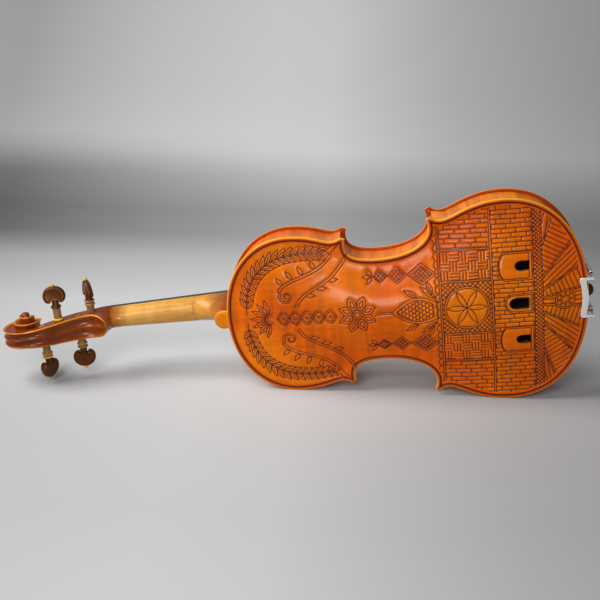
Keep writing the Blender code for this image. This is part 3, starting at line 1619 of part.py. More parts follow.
def barrels():
    """Two tubes threaded on the rods, each with a cross hole for the key."""
    for side, word in ((1, "bass"), (-1, "treble")):
        place = (CLAMP_AT, side * POST_SPREAD / 2)
        count = 16
        bore = CLAMP_ROD + GAP
        levels = (
            (BARREL_LOW, bore),
            (BARREL_LOW, BARREL_RADIUS - 0.4),
            (BARREL_LOW + 0.6, BARREL_RADIUS),
            (BARREL_LOW + BARREL_LENGTH - 0.6, BARREL_RADIUS),
            (BARREL_LOW + BARREL_LENGTH, BARREL_RADIUS - 0.4),
            (BARREL_LOW + BARREL_LENGTH, bore),
        )
        points = []
        faces = []
        size = len(levels)
        for y, radius in levels:
            points += [(a, y, b) for a, b in circle(radius, count, place)]
        for k in range(size):
            for i in range(count):
                j = (i + 1) % count
                n = (k + 1) % size
                faces.append([k * count + i, k * count + j, n * count + j, n * count + i])
        made = mesh_object(f"clamp_barrel_{word}", points, faces, "steel")
        middle = BARREL_LOW + BARREL_LENGTH / 2
        cut(made, rod("key_hole", (place[0], middle, place[1]), "x", -6, 6, 0.8, 8))
        move_origin(made, place[0], middle, place[1])


def clamp_foot():
    """Plate under the back's edge with two lugs that carry the lower rods."""
    top = -PLATE_EDGE - GAP - CORK - GAP
    low = top - FOOT_THICKNESS
    start = BODY_LENGTH - 9.4
    half = FOOT_WIDTH / 2
    rod_half = POST_SPREAD / 2
    lug = 3.2
    outline = [
        (start, -half + 2),
        (start + 2, -half),
        (CLAMP_AT, -rod_half - lug),
        (CLAMP_AT + lug - 1, -rod_half - lug + 1),
        (CLAMP_AT + lug - 1, -rod_half + lug - 1),
        (CLAMP_AT, -rod_half + lug),
        (start + FOOT_DEPTH, -rod_half + lug + 1.5),
    ]
    outline += [(x, -z) for x, z in outline[::-1]]
    made = prism("clamp_foot", outline, low, top, "y", "steel")
    inside = BARREL_LOW + BARREL_LENGTH * 0.44
    for side in (1, -1):
        place = (CLAMP_AT, 0.0, side * rod_half)
        join(made, rod("rod", place, "y", low + 0.4, inside, CLAMP_ROD, 12))
    return made


def foot_cork():
    high = -PLATE_EDGE - GAP
    start = BODY_LENGTH - 9.0
    half = FOOT_WIDTH / 2 - 1.0
    return block("foot_cork", (start, high - CORK, -half), (start + 4.8, high, half), "cork")


def ground_tilt():
    """The tilt that sets the treble edges of both bouts on the floor."""
    arcs = edge_arcs(4)
    line = arcs[0] + arcs[1] + arcs[2]

    def low(tilt, points):
        return max(z * math.cos(tilt) + x * math.sin(tilt) for x, z in points)

    front = [p for p in line if p[0] < WAIST_AT]
    rear = [p for p in line if p[0] >= WAIST_AT]
    least, most = math.radians(-30), math.radians(30)
    for _ in range(50):
        middle = (least + most) / 2
        if low(middle, rear) > low(middle, front):
            most = middle
        else:
            least = middle
    return middle


def stand_up():
    """Parents every piece to one empty, tilts it and sets the whole on the floor, centred on the origin."""
    root = bpy.data.objects.new("violin_frame", None)
    bpy.context.scene.collection.objects.link(root)
    pieces = [obj for obj in bpy.data.objects if obj.type in ("MESH", "CURVE")]
    for obj in pieces:
        obj.parent = root
    root.rotation_euler = (0.0, ground_tilt(), 0.0)
    bpy.context.view_layer.update()
    graph = bpy.context.evaluated_depsgraph_get()
    least = Vector((math.inf,) * 3)
    most = -least
    for obj in pieces:
        shape = obj.evaluated_get(graph)
        data = shape.to_mesh()
        for vertex in data.vertices:
            point = shape.matrix_world @ vertex.co
            least = Vector(map(min, least, point))
            most = Vector(map(max, most, point))
        shape.to_mesh_clear()
    root.location = (-(least.x + most.x) / 2, -(least.y + most.y) / 2, -least.z)
    bpy.context.view_layer.update()


def main():
    clear_scene()
    arcs = edge_arcs(6)
    back = back_plate()
    top = top_plate()
    on_back, on_top = Surface(back), Surface(top)
    ribs(arcs)
    linings(arcs)
    blocks(arcs)
    bass_bar(on_top)
    sound_post(on_top, on_back)
    neck()
    fingerboard()
    nut()
    saddle()
    bridge(on_top)
    tailpiece()
    tail_gut()
    end_button()
    pegs()
    tuner_body()
    tuner_lever()
    tuner_screw()
    for name, place, radius, lift in STRINGS:
        string(name, place, radius, lift)
    chin_rest()
    rest_corks()
    upper_bracket()
    barrels()
    clamp_foot()
    foot_cork()
    stand_up()


main()
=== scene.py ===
"""Looks of a carved violin that stands on its treble side, seen from its back.

The part's solids are the frame. This add-on dresses them: it makes each piece's fine surface and gives every
surface its wood, varnish or metal. Shapes are drawn in millimetres in the violin's own frame: x from the neck end
of the body towards the tail, y from the back's glued face towards the strings, z towards the bass side. The pegs'
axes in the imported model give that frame's tilt and place.
"""

import json
import math

import bmesh
import bpy
import numpy as np
from mathutils import Matrix, Vector, noise
from mathutils.bvhtree import BVHTree
from mathutils.geometry import delaunay_2d_cdt
from mathutils.kdtree import KDTree


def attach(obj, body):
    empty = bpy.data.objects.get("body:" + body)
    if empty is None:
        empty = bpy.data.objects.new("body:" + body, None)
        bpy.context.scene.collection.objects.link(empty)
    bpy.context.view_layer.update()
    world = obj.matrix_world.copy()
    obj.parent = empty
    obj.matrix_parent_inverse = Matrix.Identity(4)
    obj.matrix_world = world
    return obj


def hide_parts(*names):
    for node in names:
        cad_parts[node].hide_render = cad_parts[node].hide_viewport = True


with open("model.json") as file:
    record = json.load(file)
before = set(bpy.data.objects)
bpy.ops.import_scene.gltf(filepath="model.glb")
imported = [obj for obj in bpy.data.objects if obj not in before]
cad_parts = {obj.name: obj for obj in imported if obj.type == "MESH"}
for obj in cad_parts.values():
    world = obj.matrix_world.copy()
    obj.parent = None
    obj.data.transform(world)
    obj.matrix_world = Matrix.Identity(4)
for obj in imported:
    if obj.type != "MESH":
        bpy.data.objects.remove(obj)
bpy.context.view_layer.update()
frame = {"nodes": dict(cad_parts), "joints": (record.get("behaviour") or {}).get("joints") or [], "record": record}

bl_info = {
    "name": "Carved violin",
    "version": (1, 0, 0),
    "blender": (4, 5, 0),
    "location": "3D View > Sidebar > Violin",
    "description": "Makes the fine surfaces, materials and studio of a carved violin",
    "category": "Object",
}

MM = 0.001
PEG_PLACE = Vector((-142.3, 13.6, 0.0)) * MM


def violin_frame():
    """The matrix from the violin's own frame to the world, from the first peg's axis and place."""
    joint = next(j for j in frame["joints"] if j["name"] == "peg_g_turn")
    tilt = math.atan2(joint["axis"][0], joint["axis"][2])
    turn = Matrix.Rotation(tilt, 4, "Y")
    place = Vector(joint["pos_m"]) - turn @ PEG_PLACE
    return Matrix.Translation(place) @ turn


TO_WORLD = violin_frame()


# Materials


def new_material(name, colour, roughness, metallic=0.0):
    made = bpy.data.materials.new(name)
    made.use_nodes = True
    shader = made.node_tree.nodes["Principled BSDF"]
    shader.inputs["Base Color"].default_value = (*colour, 1.0)
    shader.inputs["Roughness"].default_value = roughness
    shader.inputs["Metallic"].default_value = metallic
    made.diffuse_color = (*colour, 1.0)
    return made


def shader_of(made):
    return made.node_tree.nodes["Principled BSDF"]


def add_node(made, kind, **settings):
    node = made.node_tree.nodes.new(kind)
    for key, value in settings.items():
        setattr(node, key, value)
    return node


def link(made, start, end):
    made.node_tree.links.new(start, end)


def violin_coordinates(made):
    """Object coordinates turned into the violin's own frame, so grain runs along the body."""
    source = add_node(made, "ShaderNodeTexCoord")
    mapping = add_node(made, "ShaderNodeMapping", vector_type="POINT")
    back = TO_WORLD.inverted()
    mapping.inputs["Location"].default_value = back.to_translation()
    mapping.inputs["Rotation"].default_value = back.to_euler()
    link(made, source.outputs["Object"], mapping.inputs["Vector"])
    return mapping.outputs["Vector"]


def stretched(made, vector, scale):
    mapping = add_node(made, "ShaderNodeMapping")
    mapping.inputs["Scale"].default_value = scale
    link(made, vector, mapping.inputs["Vector"])
    return mapping.outputs["Vector"]


def noise_value(made, vector, scale, detail=3.0, roughness=0.5, distortion=0.0):
    node = add_node(made, "ShaderNodeTexNoise")
    node.inputs["Scale"].default_value = scale
    node.inputs["Detail"].default_value = detail
    node.inputs["Roughness"].default_value = roughness
    node.inputs["Distortion"].default_value = distortion
    link(made, vector, node.inputs["Vector"])
    return node.outputs["Fac"]


def point_value(made, name):
    """A value stored at the mesh's points."""
    return add_node(made, "ShaderNodeAttribute", attribute_name=name).outputs["Fac"]


def ramp(made, value, stops):
    """A colour ramp from (position, colour) stops."""
    node = add_node(made, "ShaderNodeValToRGB")
    band = node.color_ramp
    while len(band.elements) < len(stops):
        band.elements.new(0.5)
    for element, (position, colour) in zip(band.elements, stops):
        element.position = position
        element.color = (*colour, 1.0) if isinstance(colour, tuple) else (colour, colour, colour, 1.0)
    link(made, value, node.inputs["Fac"])
    return node.outputs["Color"]


def mix(made, share, first, second, blend="MIX"):
    """Mixes two colours; either may be a socket or a plain colour."""
    node = add_node(made, "ShaderNodeMix", data_type="RGBA", blend_type=blend)
    for socket, value in ((node.inputs[0], share), (node.inputs[6], first), (node.inputs[7], second)):
        if isinstance(value, bpy.types.NodeSocket):
            link(made, value, socket)
        elif isinstance(value, tuple):
            socket.default_value = (*value, 1.0)
        else:
            socket.default_value = value
    return node.outputs[2]


def spread(made, value, low, high):
    """A value from low to high as a share from 0 to 1."""
    node = add_node(made, "ShaderNodeMapRange")
    node.inputs["From Min"].default_value = low
    node.inputs["From Max"].default_value = high
    link(made, value, node.inputs["Value"])
    return node.outputs["Result"]


def bump(made, height, strength, distance):
    node = add_node(made, "ShaderNodeBump")
    node.inputs["Strength"].default_value = strength
    node.inputs["Distance"].default_value = distance
    link(made, height, node.inputs["Height"])
    link(made, node.outputs["Normal"], shader_of(made).inputs["Normal"])


def set_colour(made, socket):
    link(made, socket, shader_of(made).inputs["Base Color"])


def dimmed(made, level, tint):
    """Weaker plain reflection, with the varnish's own colour in it."""
    shader_of(made).inputs["Specular IOR Level"].default_value = level
    shader_of(made).inputs["Specular Tint"].default_value = (*tint, 1.0)


def coated(made, weight, roughness):
    shader_of(made).inputs["Coat Weight"].default_value = weight
    shader_of(made).inputs["Coat Roughness"].default_value = roughness


def wood_tone(made, place, deep, amber, gold, grain_scale, flame_scale, flame):
    """Broad patches of three colours, flamed across the grain and streaked along it; returns colour and grain."""
    patches = noise_value(made, place, 8.0, 4.0, 0.6, 0.5)
    tone = ramp(made, patches, ((0.32, deep), (0.50, amber), (0.70, gold)))
    waves = noise_value(made, stretched(made, place, flame_scale), 1.0, 2.0, 0.5, 0.4)
    flames = ramp(made, waves, ((0.36, 1.0 - flame), (0.62, 1.0)))
    tone = mix(made, 1.0, tone, flames, "MULTIPLY")
    grain = noise_value(made, stretched(made, place, grain_scale), 1.0, 5.0, 0.7)
    streaks = ramp(made, grain, ((0.36, 0.72), (0.62, 1.0)))
    return mix(made, 0.8, tone, streaks, "MULTIPLY"), grain


def varnished(name, deep, amber, gold, grain_scale, flame_scale, flame, roughness=0.34, coat=0.14):
    made = new_material(name, amber, roughness)
    place = violin_coordinates(made)
    tone, grain = wood_tone(made, place, deep, amber, gold, grain_scale, flame_scale, flame)
    set_colour(made, tone)
    bump(made, grain, 0.10, 0.0003)
    dimmed(made, 0.2, VARNISH_TINT)
    coated(made, coat, 0.16)
    return made


VARNISH_TINT = (1.0, 0.50, 0.12)


# Varnish at each distance from the plate's edge, in centimetres
RIM_COLOURS = (
    (0.00, (0.84, 0.36, 0.008)),
    (0.10, (0.78, 0.27, 0.006)),
    (0.18, (0.50, 0.065, 0.002)),
    (0.330, (0.36, 0.034, 0.002)),
    (0.345, (0.008, 0.004, 0.004)),
    (0.445, (0.008, 0.004, 0.004)),
    (0.465, (0.40, 0.045, 0.001)),
    (0.62, (0.60, 0.090, 0.001)),
)


def plate_varnish(name, deep, amber, gold, grain_scale, flame_scale, flame):
    """Varnish of an arched plate: worn bright edge, dark inlaid line, darker channel, dark carved lines, and painted
    light and shade.
    """
    made = new_material(name, amber, 0.36)
    place = violin_coordinates(made)
    tone, grain = wood_tone(made, place, deep, amber, gold, grain_scale, flame_scale, flame)
    # Golden and red patches, partly the varnish's own tone and partly painted light and painted shade on the arch
    tone = mix(made, point_value(made, "sun"), tone, mix(made, 0.75, tone, GOLD_SHINE))
    tone = mix(made, point_value(made, "dusk"), tone, mix(made, 0.7, tone, RED_SHADE))
    rim = point_value(made, "rim")
    edge = ramp(made, rim, RIM_COLOURS)
    outside = ramp(made, rim, ((0.44, 1.0), (0.75, 0.0)))
    tone = mix(made, outside, tone, edge)
    wear = noise_value(made, place, 160.0, 3.0, 0.6)
    cut = mix(made, wear, (0.030, 0.007, 0.005), (0.13, 0.022, 0.012))
    tone = mix(made, ramp(made, point_value(made, "carve"), ((0.25, 0.0), (0.85, 0.95))), tone, cut)
    # Painted shade: the plate's hollow inner face and the walls of its openings are darkened to the dark of the closed
    # body's inside
    tone = mix(made, point_value(made, "inside"), tone, INNER_SHADE)
    set_colour(made, tone)
    bump(made, grain, 0.10, 0.0003)
    dimmed(made, 0.12, VARNISH_TINT)
    coated(made, 0.14, 0.2)
    return made


# Colours of the patches, partly painted light and painted shade
GOLD_SHINE = (0.86, 0.230, 0.002)
RED_SHADE = (0.62, 0.060, 0.001)
# Painted shade of the body's inside and of its openings' walls
INNER_SHADE = (0.050, 0.025, 0.012)


def neck_finish():
    """A satin golden neck whose heel and head are varnished red brown."""
    made = new_material("neck_finish", NECK_WOOD[1], 0.42)
    place = violin_coordinates(made)
    bare, grain = wood_tone(made, place, *NECK_WOOD, (40, 240, 240), (90, 10, 12), 0.18)
    red, _ = wood_tone(made, place, *HEAD_WOOD, (60, 240, 240), (120, 14, 20), 0.30)
    split = add_node(made, "ShaderNodeSeparateXYZ")
    link(made, place, split.inputs[0])
    along = spread(made, split.outputs["X"], -0.20, 0.05)
    head = ramp(made, along, ((0.29, 1.0), (0.37, 0.0), (0.70, 0.0), (0.78, 0.85)))
    tone = mix(made, head, bare, red)
    # Painted shade: darker near the flutes' bottoms and the cheeks' ends, which in the scroll are the deep corners
    # between its turns
    tone = mix(made, point_value(made, "hollow"), tone, mix(made, 0.55, tone, HOLLOW_SHADE))
    tone = mix(made, point_value(made, "edge"), tone, EDGE_GOLD)
    set_colour(made, tone)
    bump(made, grain, 0.10, 0.0003)
    dimmed(made, 0.25, VARNISH_TINT)
    coated(made, 0.3, 0.2)
    return made


HEAD_WOOD = ((0.18, 0.020, 0.001), (0.30, 0.046, 0.002), (0.42, 0.095, 0.003))
# Painted shade of the neck's hollows
HOLLOW_SHADE = (0.085, 0.009, 0.001)
EDGE_GOLD = (0.60, 0.20, 0.012)


def peg_wood(name, tones, roughness):
    """Turned wood whose colour changes from part to part."""
    made = new_material(name, tones[0][1], roughness)
    place = violin_coordinates(made)
    grain = noise_value(made, stretched(made, place, (160, 500, 160)), 1.0, 5.0, 0.7, 0.2)
    streaks = ramp(made, grain, ((0.36, 0.62), (0.64, 1.0)))
    set_colour(made, mix(made, 1.0, ramp(made, point_value(made, "tone"), tones), streaks, "MULTIPLY"))
    bump(made, grain, 0.10, 0.0003)
    dimmed(made, 0.35, VARNISH_TINT)
    return made


PEG_TONES = (
    (0.0, (0.085, 0.024, 0.009)),
    (0.24, (0.085, 0.024, 0.009)),
    (0.26, (0.33, 0.16, 0.065)),
    (0.74, (0.33, 0.16, 0.065)),
    (0.76, (0.78, 0.42, 0.030)),
    (1.0, (0.78, 0.42, 0.030)),
)
RING_TONES = ((0.0, (0.42, 0.20, 0.060)), (0.4, (0.42, 0.20, 0.060)), (0.6, (0.88, 0.56, 0.030)))


def polished(name, dark, light, grain_scale, roughness):
    """Dense dark or pale wood, bare or oiled, with fine grain."""
    made = new_material(name, dark, roughness)
    place = violin_coordinates(made)
    grain = noise_value(made, stretched(made, place, grain_scale), 1.0, 5.0, 0.7, 0.2)
    set_colour(made, ramp(made, grain, ((0.38, dark), (0.66, light))))
    bump(made, grain, 0.10, 0.0003)
    return made


def metal(name, colour, roughness, metallic=1.0):
    made = new_material(name, colour, roughness, metallic)
    place = violin_coordinates(made)
    smear = noise_value(made, place, 220.0, 3.0)
    bump(made, smear, 0.05, 0.0002)
    return made


BACK_WOOD = ((0.60, 0.070, 0.001), (0.76, 0.115, 0.001), (0.86, 0.175, 0.001))
TOP_WOOD = ((0.60, 0.090, 0.002), (0.74, 0.140, 0.003), (0.80, 0.200, 0.005))
RIB_WOOD = ((0.76, 0.090, 0.002), (0.94, 0.180, 0.003), (0.98, 0.290, 0.006))
NECK_WOOD = ((0.50, 0.20, 0.03), (0.66, 0.30, 0.05), (0.74, 0.40, 0.09))

MATERIALS = {
    "back_maple": lambda: plate_varnish("back_varnish", *BACK_WOOD, (40, 260, 260), (110, 9, 14), 0.30),
    "top_spruce": lambda: plate_varnish("top_varnish", *TOP_WOOD, (14, 60, 900), (6, 6, 30), 0.05),
    "rib_maple": lambda: varnished("rib_varnish", *RIB_WOOD, (40, 200, 40), (130, 10, 20), 0.38),
    "neck_maple": lambda: neck_finish(),
    "inner_spruce": lambda: polished("bare_spruce", (0.22, 0.14, 0.07), (0.32, 0.21, 0.11), (40, 300, 300), 0.7),
    "ebony": lambda: polished("ebony", (0.010, 0.009, 0.008), (0.022, 0.018, 0.016), (60, 500, 500), 0.35),
    "bridge_maple": lambda: polished("bare_maple", (0.55, 0.34, 0.16), (0.70, 0.48, 0.26), (500, 60, 300), 0.5),
    "rosewood": lambda: peg_wood("rosewood", PEG_TONES, 0.36),
    "boxwood": lambda: peg_wood("boxwood", RING_TONES, 0.36),
    "tail_cord": lambda: polished("tail_cord", (0.012, 0.012, 0.012), (0.025, 0.025, 0.025), (900, 900, 900), 0.45),
    "string_metal": lambda: metal("string_metal", (0.62, 0.61, 0.58), 0.3),
    "nickel": lambda: metal("nickel", (0.82, 0.81, 0.79), 0.36, 0.8),
    "cork": lambda: polished("cork", (0.30, 0.17, 0.08), (0.48, 0.31, 0.17), (700, 700, 700), 0.9),
}

SLOT_MATERIALS = {}


# Outline and arching of the plates

BODY_LENGTH = 356.0
UPPER_BOUT = (67.4, 82.0)
UPPER_CORNER = (121.9, 76.5, -19.5)
WAIST = (154.4, 53.6)
LOWER_CORNER = (205.0, 90.6, 29.7)
LOWER_BOUT = (276.8, 104.5)
CORNER_TIP = 5.5
CHANNEL_INSET = 6.0
CHANNEL_FLOOR = 3.5
EDGE_CREST = 4.0
BACK_ARCH = 11.3
TOP_ARCH = 11.8
SPINE_INSET = 0.12
RIB_HEIGHT = 31.0
BUTTON_CENTRE = -3.5
BUTTON_RADIUS = 9.8
FINE = 10

# Through-openings of the back: middle, side, length, width
SLOTS = ((292.0, 38.2, 13.8, 9.4), (288.0, 0.4, 18.6, 10.8), (291.5, -38.0, 13.8, 8.8))


def bezier(start, pull_start, pull_end, end, count):
    """A cubic curve as an array of (x, z) points."""
    t = np.linspace(0.0, 1.0, count + 1)[:, None]
    s = 1 - t
    corners = [np.array(p, float) for p in (start, pull_start, pull_end, end)]
    return s**3 * corners[0] + 3 * s * s * t * corners[1] + 3 * s * t * t * corners[2] + t**3 * corners[3]


def shifted(point, length, degrees):
    turn = math.radians(degrees)
    return (point[0] + length * math.cos(turn), point[1] + length * math.sin(turn))


def corner_ends(corner):
    """The two ends of a corner's blunt tip."""
    at, half, turn = corner
    return shifted((at, half), -CORNER_TIP / 2, turn), shifted((at, half), CORNER_TIP / 2, turn)


def edge_arcs():
    """The bass half's three edge curves: upper bout, waist and lower bout."""
    tip_a, tip_b = corner_ends(UPPER_CORNER)
    tip_c, tip_d = corner_ends(LOWER_CORNER)
    tail = (BODY_LENGTH, 0.0)
    neck_pull = (0.0, 0.627 * UPPER_BOUT[1])
    tail_pull = (BODY_LENGTH, 0.659 * LOWER_BOUT[1])
    steps = [count * FINE for count in (7, 7, 6, 6, 7, 9)]
    parts = (
        ((0.0, 0.0), neck_pull, shifted(UPPER_BOUT, 36.0, 180), UPPER_BOUT),
        (UPPER_BOUT, shifted(UPPER_BOUT, 32.7, 0), shifted(tip_a, 15.3, 214.3), tip_a),
        (tip_b, shifted(tip_b, 17.9, -103.5), shifted(WAIST, 23.1, 180), WAIST),
        (WAIST, shifted(WAIST, 31.9, 0), shifted(tip_c, 23.1, -64.3), tip_c),
        (tip_d, shifted(tip_d, 19.3, -41.1), shifted(LOWER_BOUT, 42.1, 180), LOWER_BOUT),
        (LOWER_BOUT, shifted(LOWER_BOUT, 45.9, 0), tail_pull, tail),
    )
    curves = [bezier(*part, count) for part, count in zip(parts, steps)]
    return [np.vstack((curves[k], curves[k + 1][1:])) for k in (0, 2, 4)]


def run_lengths(line):
    return np.concatenate(([0.0], np.cumsum(np.hypot(*np.diff(line, axis=0).T))))


def respaced(line, count):
    """The same line with evenly spaced points."""
    runs = run_lengths(line)
    goals = np.linspace(0.0, runs[-1], count + 1)
    return np.column_stack([np.interp(goals, runs, line[:, k]) for k in (0, 1)])


def sampled(line, step):
    """The same line with points about a step apart."""
    return respaced(line, max(1, round(run_lengths(line)[-1] / step)))


def inset(line, distance):
    """The line moved inwards, square to itself; one distance or one for each point."""
    ahead = np.gradient(line, axis=0)
    ahead /= np.hypot(*ahead.T)[:, None]
    return line + np.column_stack((ahead[:, 1], -ahead[:, 0])) * np.reshape(distance, (-1, 1))


def mirrored(line):
    return line * (1.0, -1.0)


def arch_line():
    """Where the arch starts, point for point with the edge: inside the channel and straight past the corners."""
    near = CHANNEL_INSET
    upper, waist, lower = ((x, z - near) for x, z in (UPPER_BOUT, WAIST, LOWER_BOUT))
    tail = (BODY_LENGTH - near, 0.0)
    neck_end = bezier((near, 0.0), (near, 48.0), shifted(upper, 34.0, 180), upper, 7 * FINE)
    falling = bezier(upper, shifted(upper, 34.0, 0), shifted(waist, 38.0, 180), waist, 14 * FINE)
    rising = bezier(waist, shifted(waist, 54.0, 0), shifted(lower, 50.0, 180), lower, 14 * FINE)
    tail_end = bezier(lower, shifted(lower, 43.5, 0), (tail[0], 65.0), tail, 9 * FINE)
    half = 7 * FINE
    middle = (respaced(falling[half:], 6 * FINE), respaced(rising[: half + 1], 6 * FINE)[1:])
    return np.vstack((neck_end, falling[1 : half + 1], *middle, rising[half:], tail_end[1:]))


ARCS = edge_arcs()
HALF_EDGE = np.vstack(ARCS)


def tree_of(points):
    """A search tree of plan points."""
    tree = KDTree(len(points))
    for i, (x, z) in enumerate(points):
        tree.insert((x, z, 0.0), i)
    tree.balance()
    return tree


def distances(points, tree):
    return np.array([tree.find((x, z, 0.0))[2] for x, z in points])


RIM_TREE = tree_of(np.vstack([sampled(side(arc), 0.25) for arc in ARCS for side in (np.array, mirrored)]))


def rise_tree():
    """The arch of a plate with a height of one, as a tree for rays."""
    start = arch_line()
    spine = SPINE_INSET * BODY_LENGTH + (1 - 2 * SPINE_INSET) * start[:, 0]
    share = np.linspace(0.0, 1.0, 41)
    swell = 0.5 - 0.5 * np.cos(np.pi * share**0.85)
    tall = 1 - 0.62 * ((spine - BODY_LENGTH / 2) / (BODY_LENGTH / 2)) ** 2
    xs = start[:, :1] + (spine - start[:, 0])[:, None] * share
    zs = start[:, 1:] * (1 - share)
    heights = tall[:, None] * swell
    rows, columns = heights.shape
    points = []
    faces = []
    for side in (1, -1):
        first = len(points)
        points += [Vector((x, z * side, h)) for x, z, h in zip(xs.flat, zs.flat, heights.flat)]
        for r in range(rows - 1):
            for c in range(columns - 1):
                a = first + r * columns + c
                faces.append((a, a + 1, a + columns + 1, a + columns))
    return BVHTree.FromPolygons(points, faces)


RISE_TREE = rise_tree()


def rises(points):
    """How much of a plate's full arch there is over each plan point."""
    down = Vector((0.0, 0.0, -1.0))
    found = [RISE_TREE.ray_cast(Vector((x, z, 5.0)), down)[0] for x, z in points]
    return np.array([hit.z if hit else 0.0 for hit in found])


def smooth_step(value, low, high):
    share = np.clip((value - low) / (high - low), 0.0, 1.0)
    return share * share * (3 - 2 * share)


def outer_heights(points, arch):
    """Heights of a plate's smooth outer face over its glued face, and each point's distance from the edge."""
    rim = distances(points, RIM_TREE)
    rim = np.where(points[:, 0] < 0.0, 0.0, rim)
    crest = (EDGE_CREST - CHANNEL_FLOOR) * (1 - smooth_step(rim, 1.6, CHANNEL_INSET))
    return CHANNEL_FLOOR + crest + arch * rises(points), rim


def half_outline(with_button):
    """The bass half of the edge from the neck to the tail, with the heel's button or without."""
    if not with_button:
        return HALF_EDGE
    turns = np.linspace(math.pi, 0.0, 41)
    button = np.column_stack((BUTTON_CENTRE + BUTTON_RADIUS * np.cos(turns), BUTTON_RADIUS * np.sin(turns)))
    button = button[button[:, 0] < 0.0]
    beside = HALF_EDGE[:, 1] > button[-1, 1] + 0.3
    return np.vstack((button, HALF_EDGE[beside | (HALF_EDGE[:, 0] > LOWER_BOUT[0])]))


def outline_loop(reach, with_button):
    """The whole edge as one closed loop, moved inwards by a reach."""
    half = half_outline(with_button)
    return moved(np.vstack((half, mirrored(half[-2:0:-1]))), reach)


def moved(loop, reach):
    """A closed loop moved square to itself, with mitred corners."""
    before = loop - np.roll(loop, 1, axis=0)
    after = np.roll(loop, -1, axis=0) - loop
    before /= np.hypot(*before.T)[:, None]
    after /= np.hypot(*after.T)[:, None]
    along = before + after
    along /= np.hypot(*along.T)[:, None]
    square = np.column_stack((along[:, 1], -along[:, 0]))
    mitre = np.clip(np.sum(along * after, axis=1), 0.5, 1.0)
    return loop + square * (reach / mitre)[:, None]


# The carving: lines in the plan of the back


def placed(points, origin, degrees):
    """Points drawn along x, turned and moved to their place."""
    turn = math.radians(degrees)
    along = np.array((math.cos(turn), math.sin(turn)))
    across = np.array((-math.sin(turn), math.cos(turn)))
    points = np.asarray(points, float)
    return np.array(origin) + points[:, :1] * along + points[:, 1:] * across


def ring(centre, radius, first=0.0, sweep=360.0):
    turns = np.radians(np.linspace(first, first + sweep, max(8, round(abs(sweep) * radius / 60))))
    return np.column_stack((centre[0] + radius * np.cos(turns), centre[1] + radius * np.sin(turns)))


def closed(corners):
    corners = np.asarray(corners, float)
    return np.vstack((corners, corners[:1]))


def inside(points, polygon):
    """Which points lie in a polygon."""
    x, z = points.T
    found = np.zeros(len(points), bool)
    for (x0, z0), (x1, z1) in zip(polygon, np.roll(polygon, -1, axis=0)):
        crosses = (z0 > z) != (z1 > z)
        if z1 != z0:
            found ^= crosses & (x < (x1 - x0) * (z - z0) / (z1 - z0) + x0)
    return found


def clipped(lines, polygon, holes=()):
    """The stretches of lines within a polygon, out of its holes and clear of the plate's edge."""
    kept = []
    for line in lines:
        fine = sampled(line, 0.4)
        free = inside(fine, np.asarray(polygon, float)) & inside(fine, BODY_OUTLINE)
        for hole in holes:
            free &= ~inside(fine, np.asarray(hole, float))
        if free.any():
            free[free] = distances(fine[free], RIM_TREE) > EDGE_MARGIN
        starts = np.flatnonzero(np.diff(np.concatenate(([0], free.astype(int), [0]))))
        for first, last in zip(starts[::2], starts[1::2]):
            if last - first > 3:
                kept.append(fine[first:last])
    return kept


EDGE_MARGIN = 6.6
BODY_OUTLINE = np.vstack((HALF_EDGE, mirrored(HALF_EDGE[-2:0:-1])))


def leaf(base, degrees, length, width, rib=0.6):
    """A pointed leaf: two bowed sides and a midrib."""
    along = np.linspace(0.0, 1.0, 10)
    bow = width / 2 * np.sin(np.pi * along**0.8)
    lines = [placed(np.column_stack((along * length, way * bow)), base, degrees) for way in (1, -1)]
    if rib:
        lines.append(placed([(0.12 * length, 0.0), (rib * length, 0.0)], base, degrees))
    return lines


def spray():
    """A laurel branch that follows the upper bout's edge, with leaves in pairs."""
    stem = sampled(bezier((21.0, 5.0), (21.0, 44.0), (44.0, 69.0), (96.0, 63.5), 40), 6.4)
    ahead = np.gradient(stem, axis=0)
    lines = [sampled(stem, 2.0)]
    for i, (point, way) in enumerate(zip(stem[1:], ahead[1:])):
        heading = math.degrees(math.atan2(way[1], way[0]))
        size = 14.0 - 0.28 * abs(i - 7)
        for side in (1, -1):
            spread = 34.0 if side > 0 else 40.0
            lines += leaf(point, heading + side * spread, size, 4.6)
    lines += leaf(stem[-1], heading, 12.0, 4.6)
    return lines


def spiral(centre, radius, first, sweep, least=1.6):
    """A volute that winds in from a radius."""
    share = np.linspace(0.0, 1.0, 46)
    turns = np.radians(first + sweep * share)
    reach = radius + (least - radius) * share**0.8
    return np.column_stack((centre[0] + reach * np.cos(turns), centre[1] + reach * np.sin(turns)))


def beside(line, gap):
    """Two lines to the sides of one."""
    return [inset(line, gap / 2), inset(line, -gap / 2)]


def strapwork():
    """Two scrolls that curl in the upper bout, swing out and run into the corner."""
    stem = bezier((55.0, 27.0), (62.0, 43.0), (94.0, 38.0), (109.0, 61.0), 40)
    second = bezier((72.0, 12.0), (78.0, 31.0), (106.0, 27.0), (123.0, 57.0), 40)
    lines = beside(stem, 2.6) + beside(second, 2.6)
    lines.append(spiral((62.5, 22.5), 8.8, 148.0, 470.0))
    lines.append(spiral((62.5, 22.5), 6.2, 148.0, 400.0))
    lines += [bezier((109.0, 61.0), (112.0, 65.0), (114.0, 67.0), (117.5, 70.5), 8)]
    lines += [bezier((123.0, 57.0), (125.0, 60.0), (126.0, 62.0), (127.5, 66.0), 8)]
    lines += [bezier((100.0, 63.5), (104.0, 64.5), (108.0, 67.0), (112.0, 71.0), 8)]
    for share, length in ((0.16, 9.0), (0.34, 10.0), (0.52, 10.0), (0.70, 9.0)):
        point = stem[round(share * 40)] + (0.0, 1.6)
        lines += leaf(point, 140.0 - 40.0 * share, length, 4.0, 0.0)
    for share, length in ((0.30, 9.0), (0.50, 10.0), (0.70, 9.0)):
        point = second[round(share * 40)] - (0.0, 1.6)
        lines += leaf(point, -10.0 + 20.0 * share, length, 4.0, 0.0)
    return lines


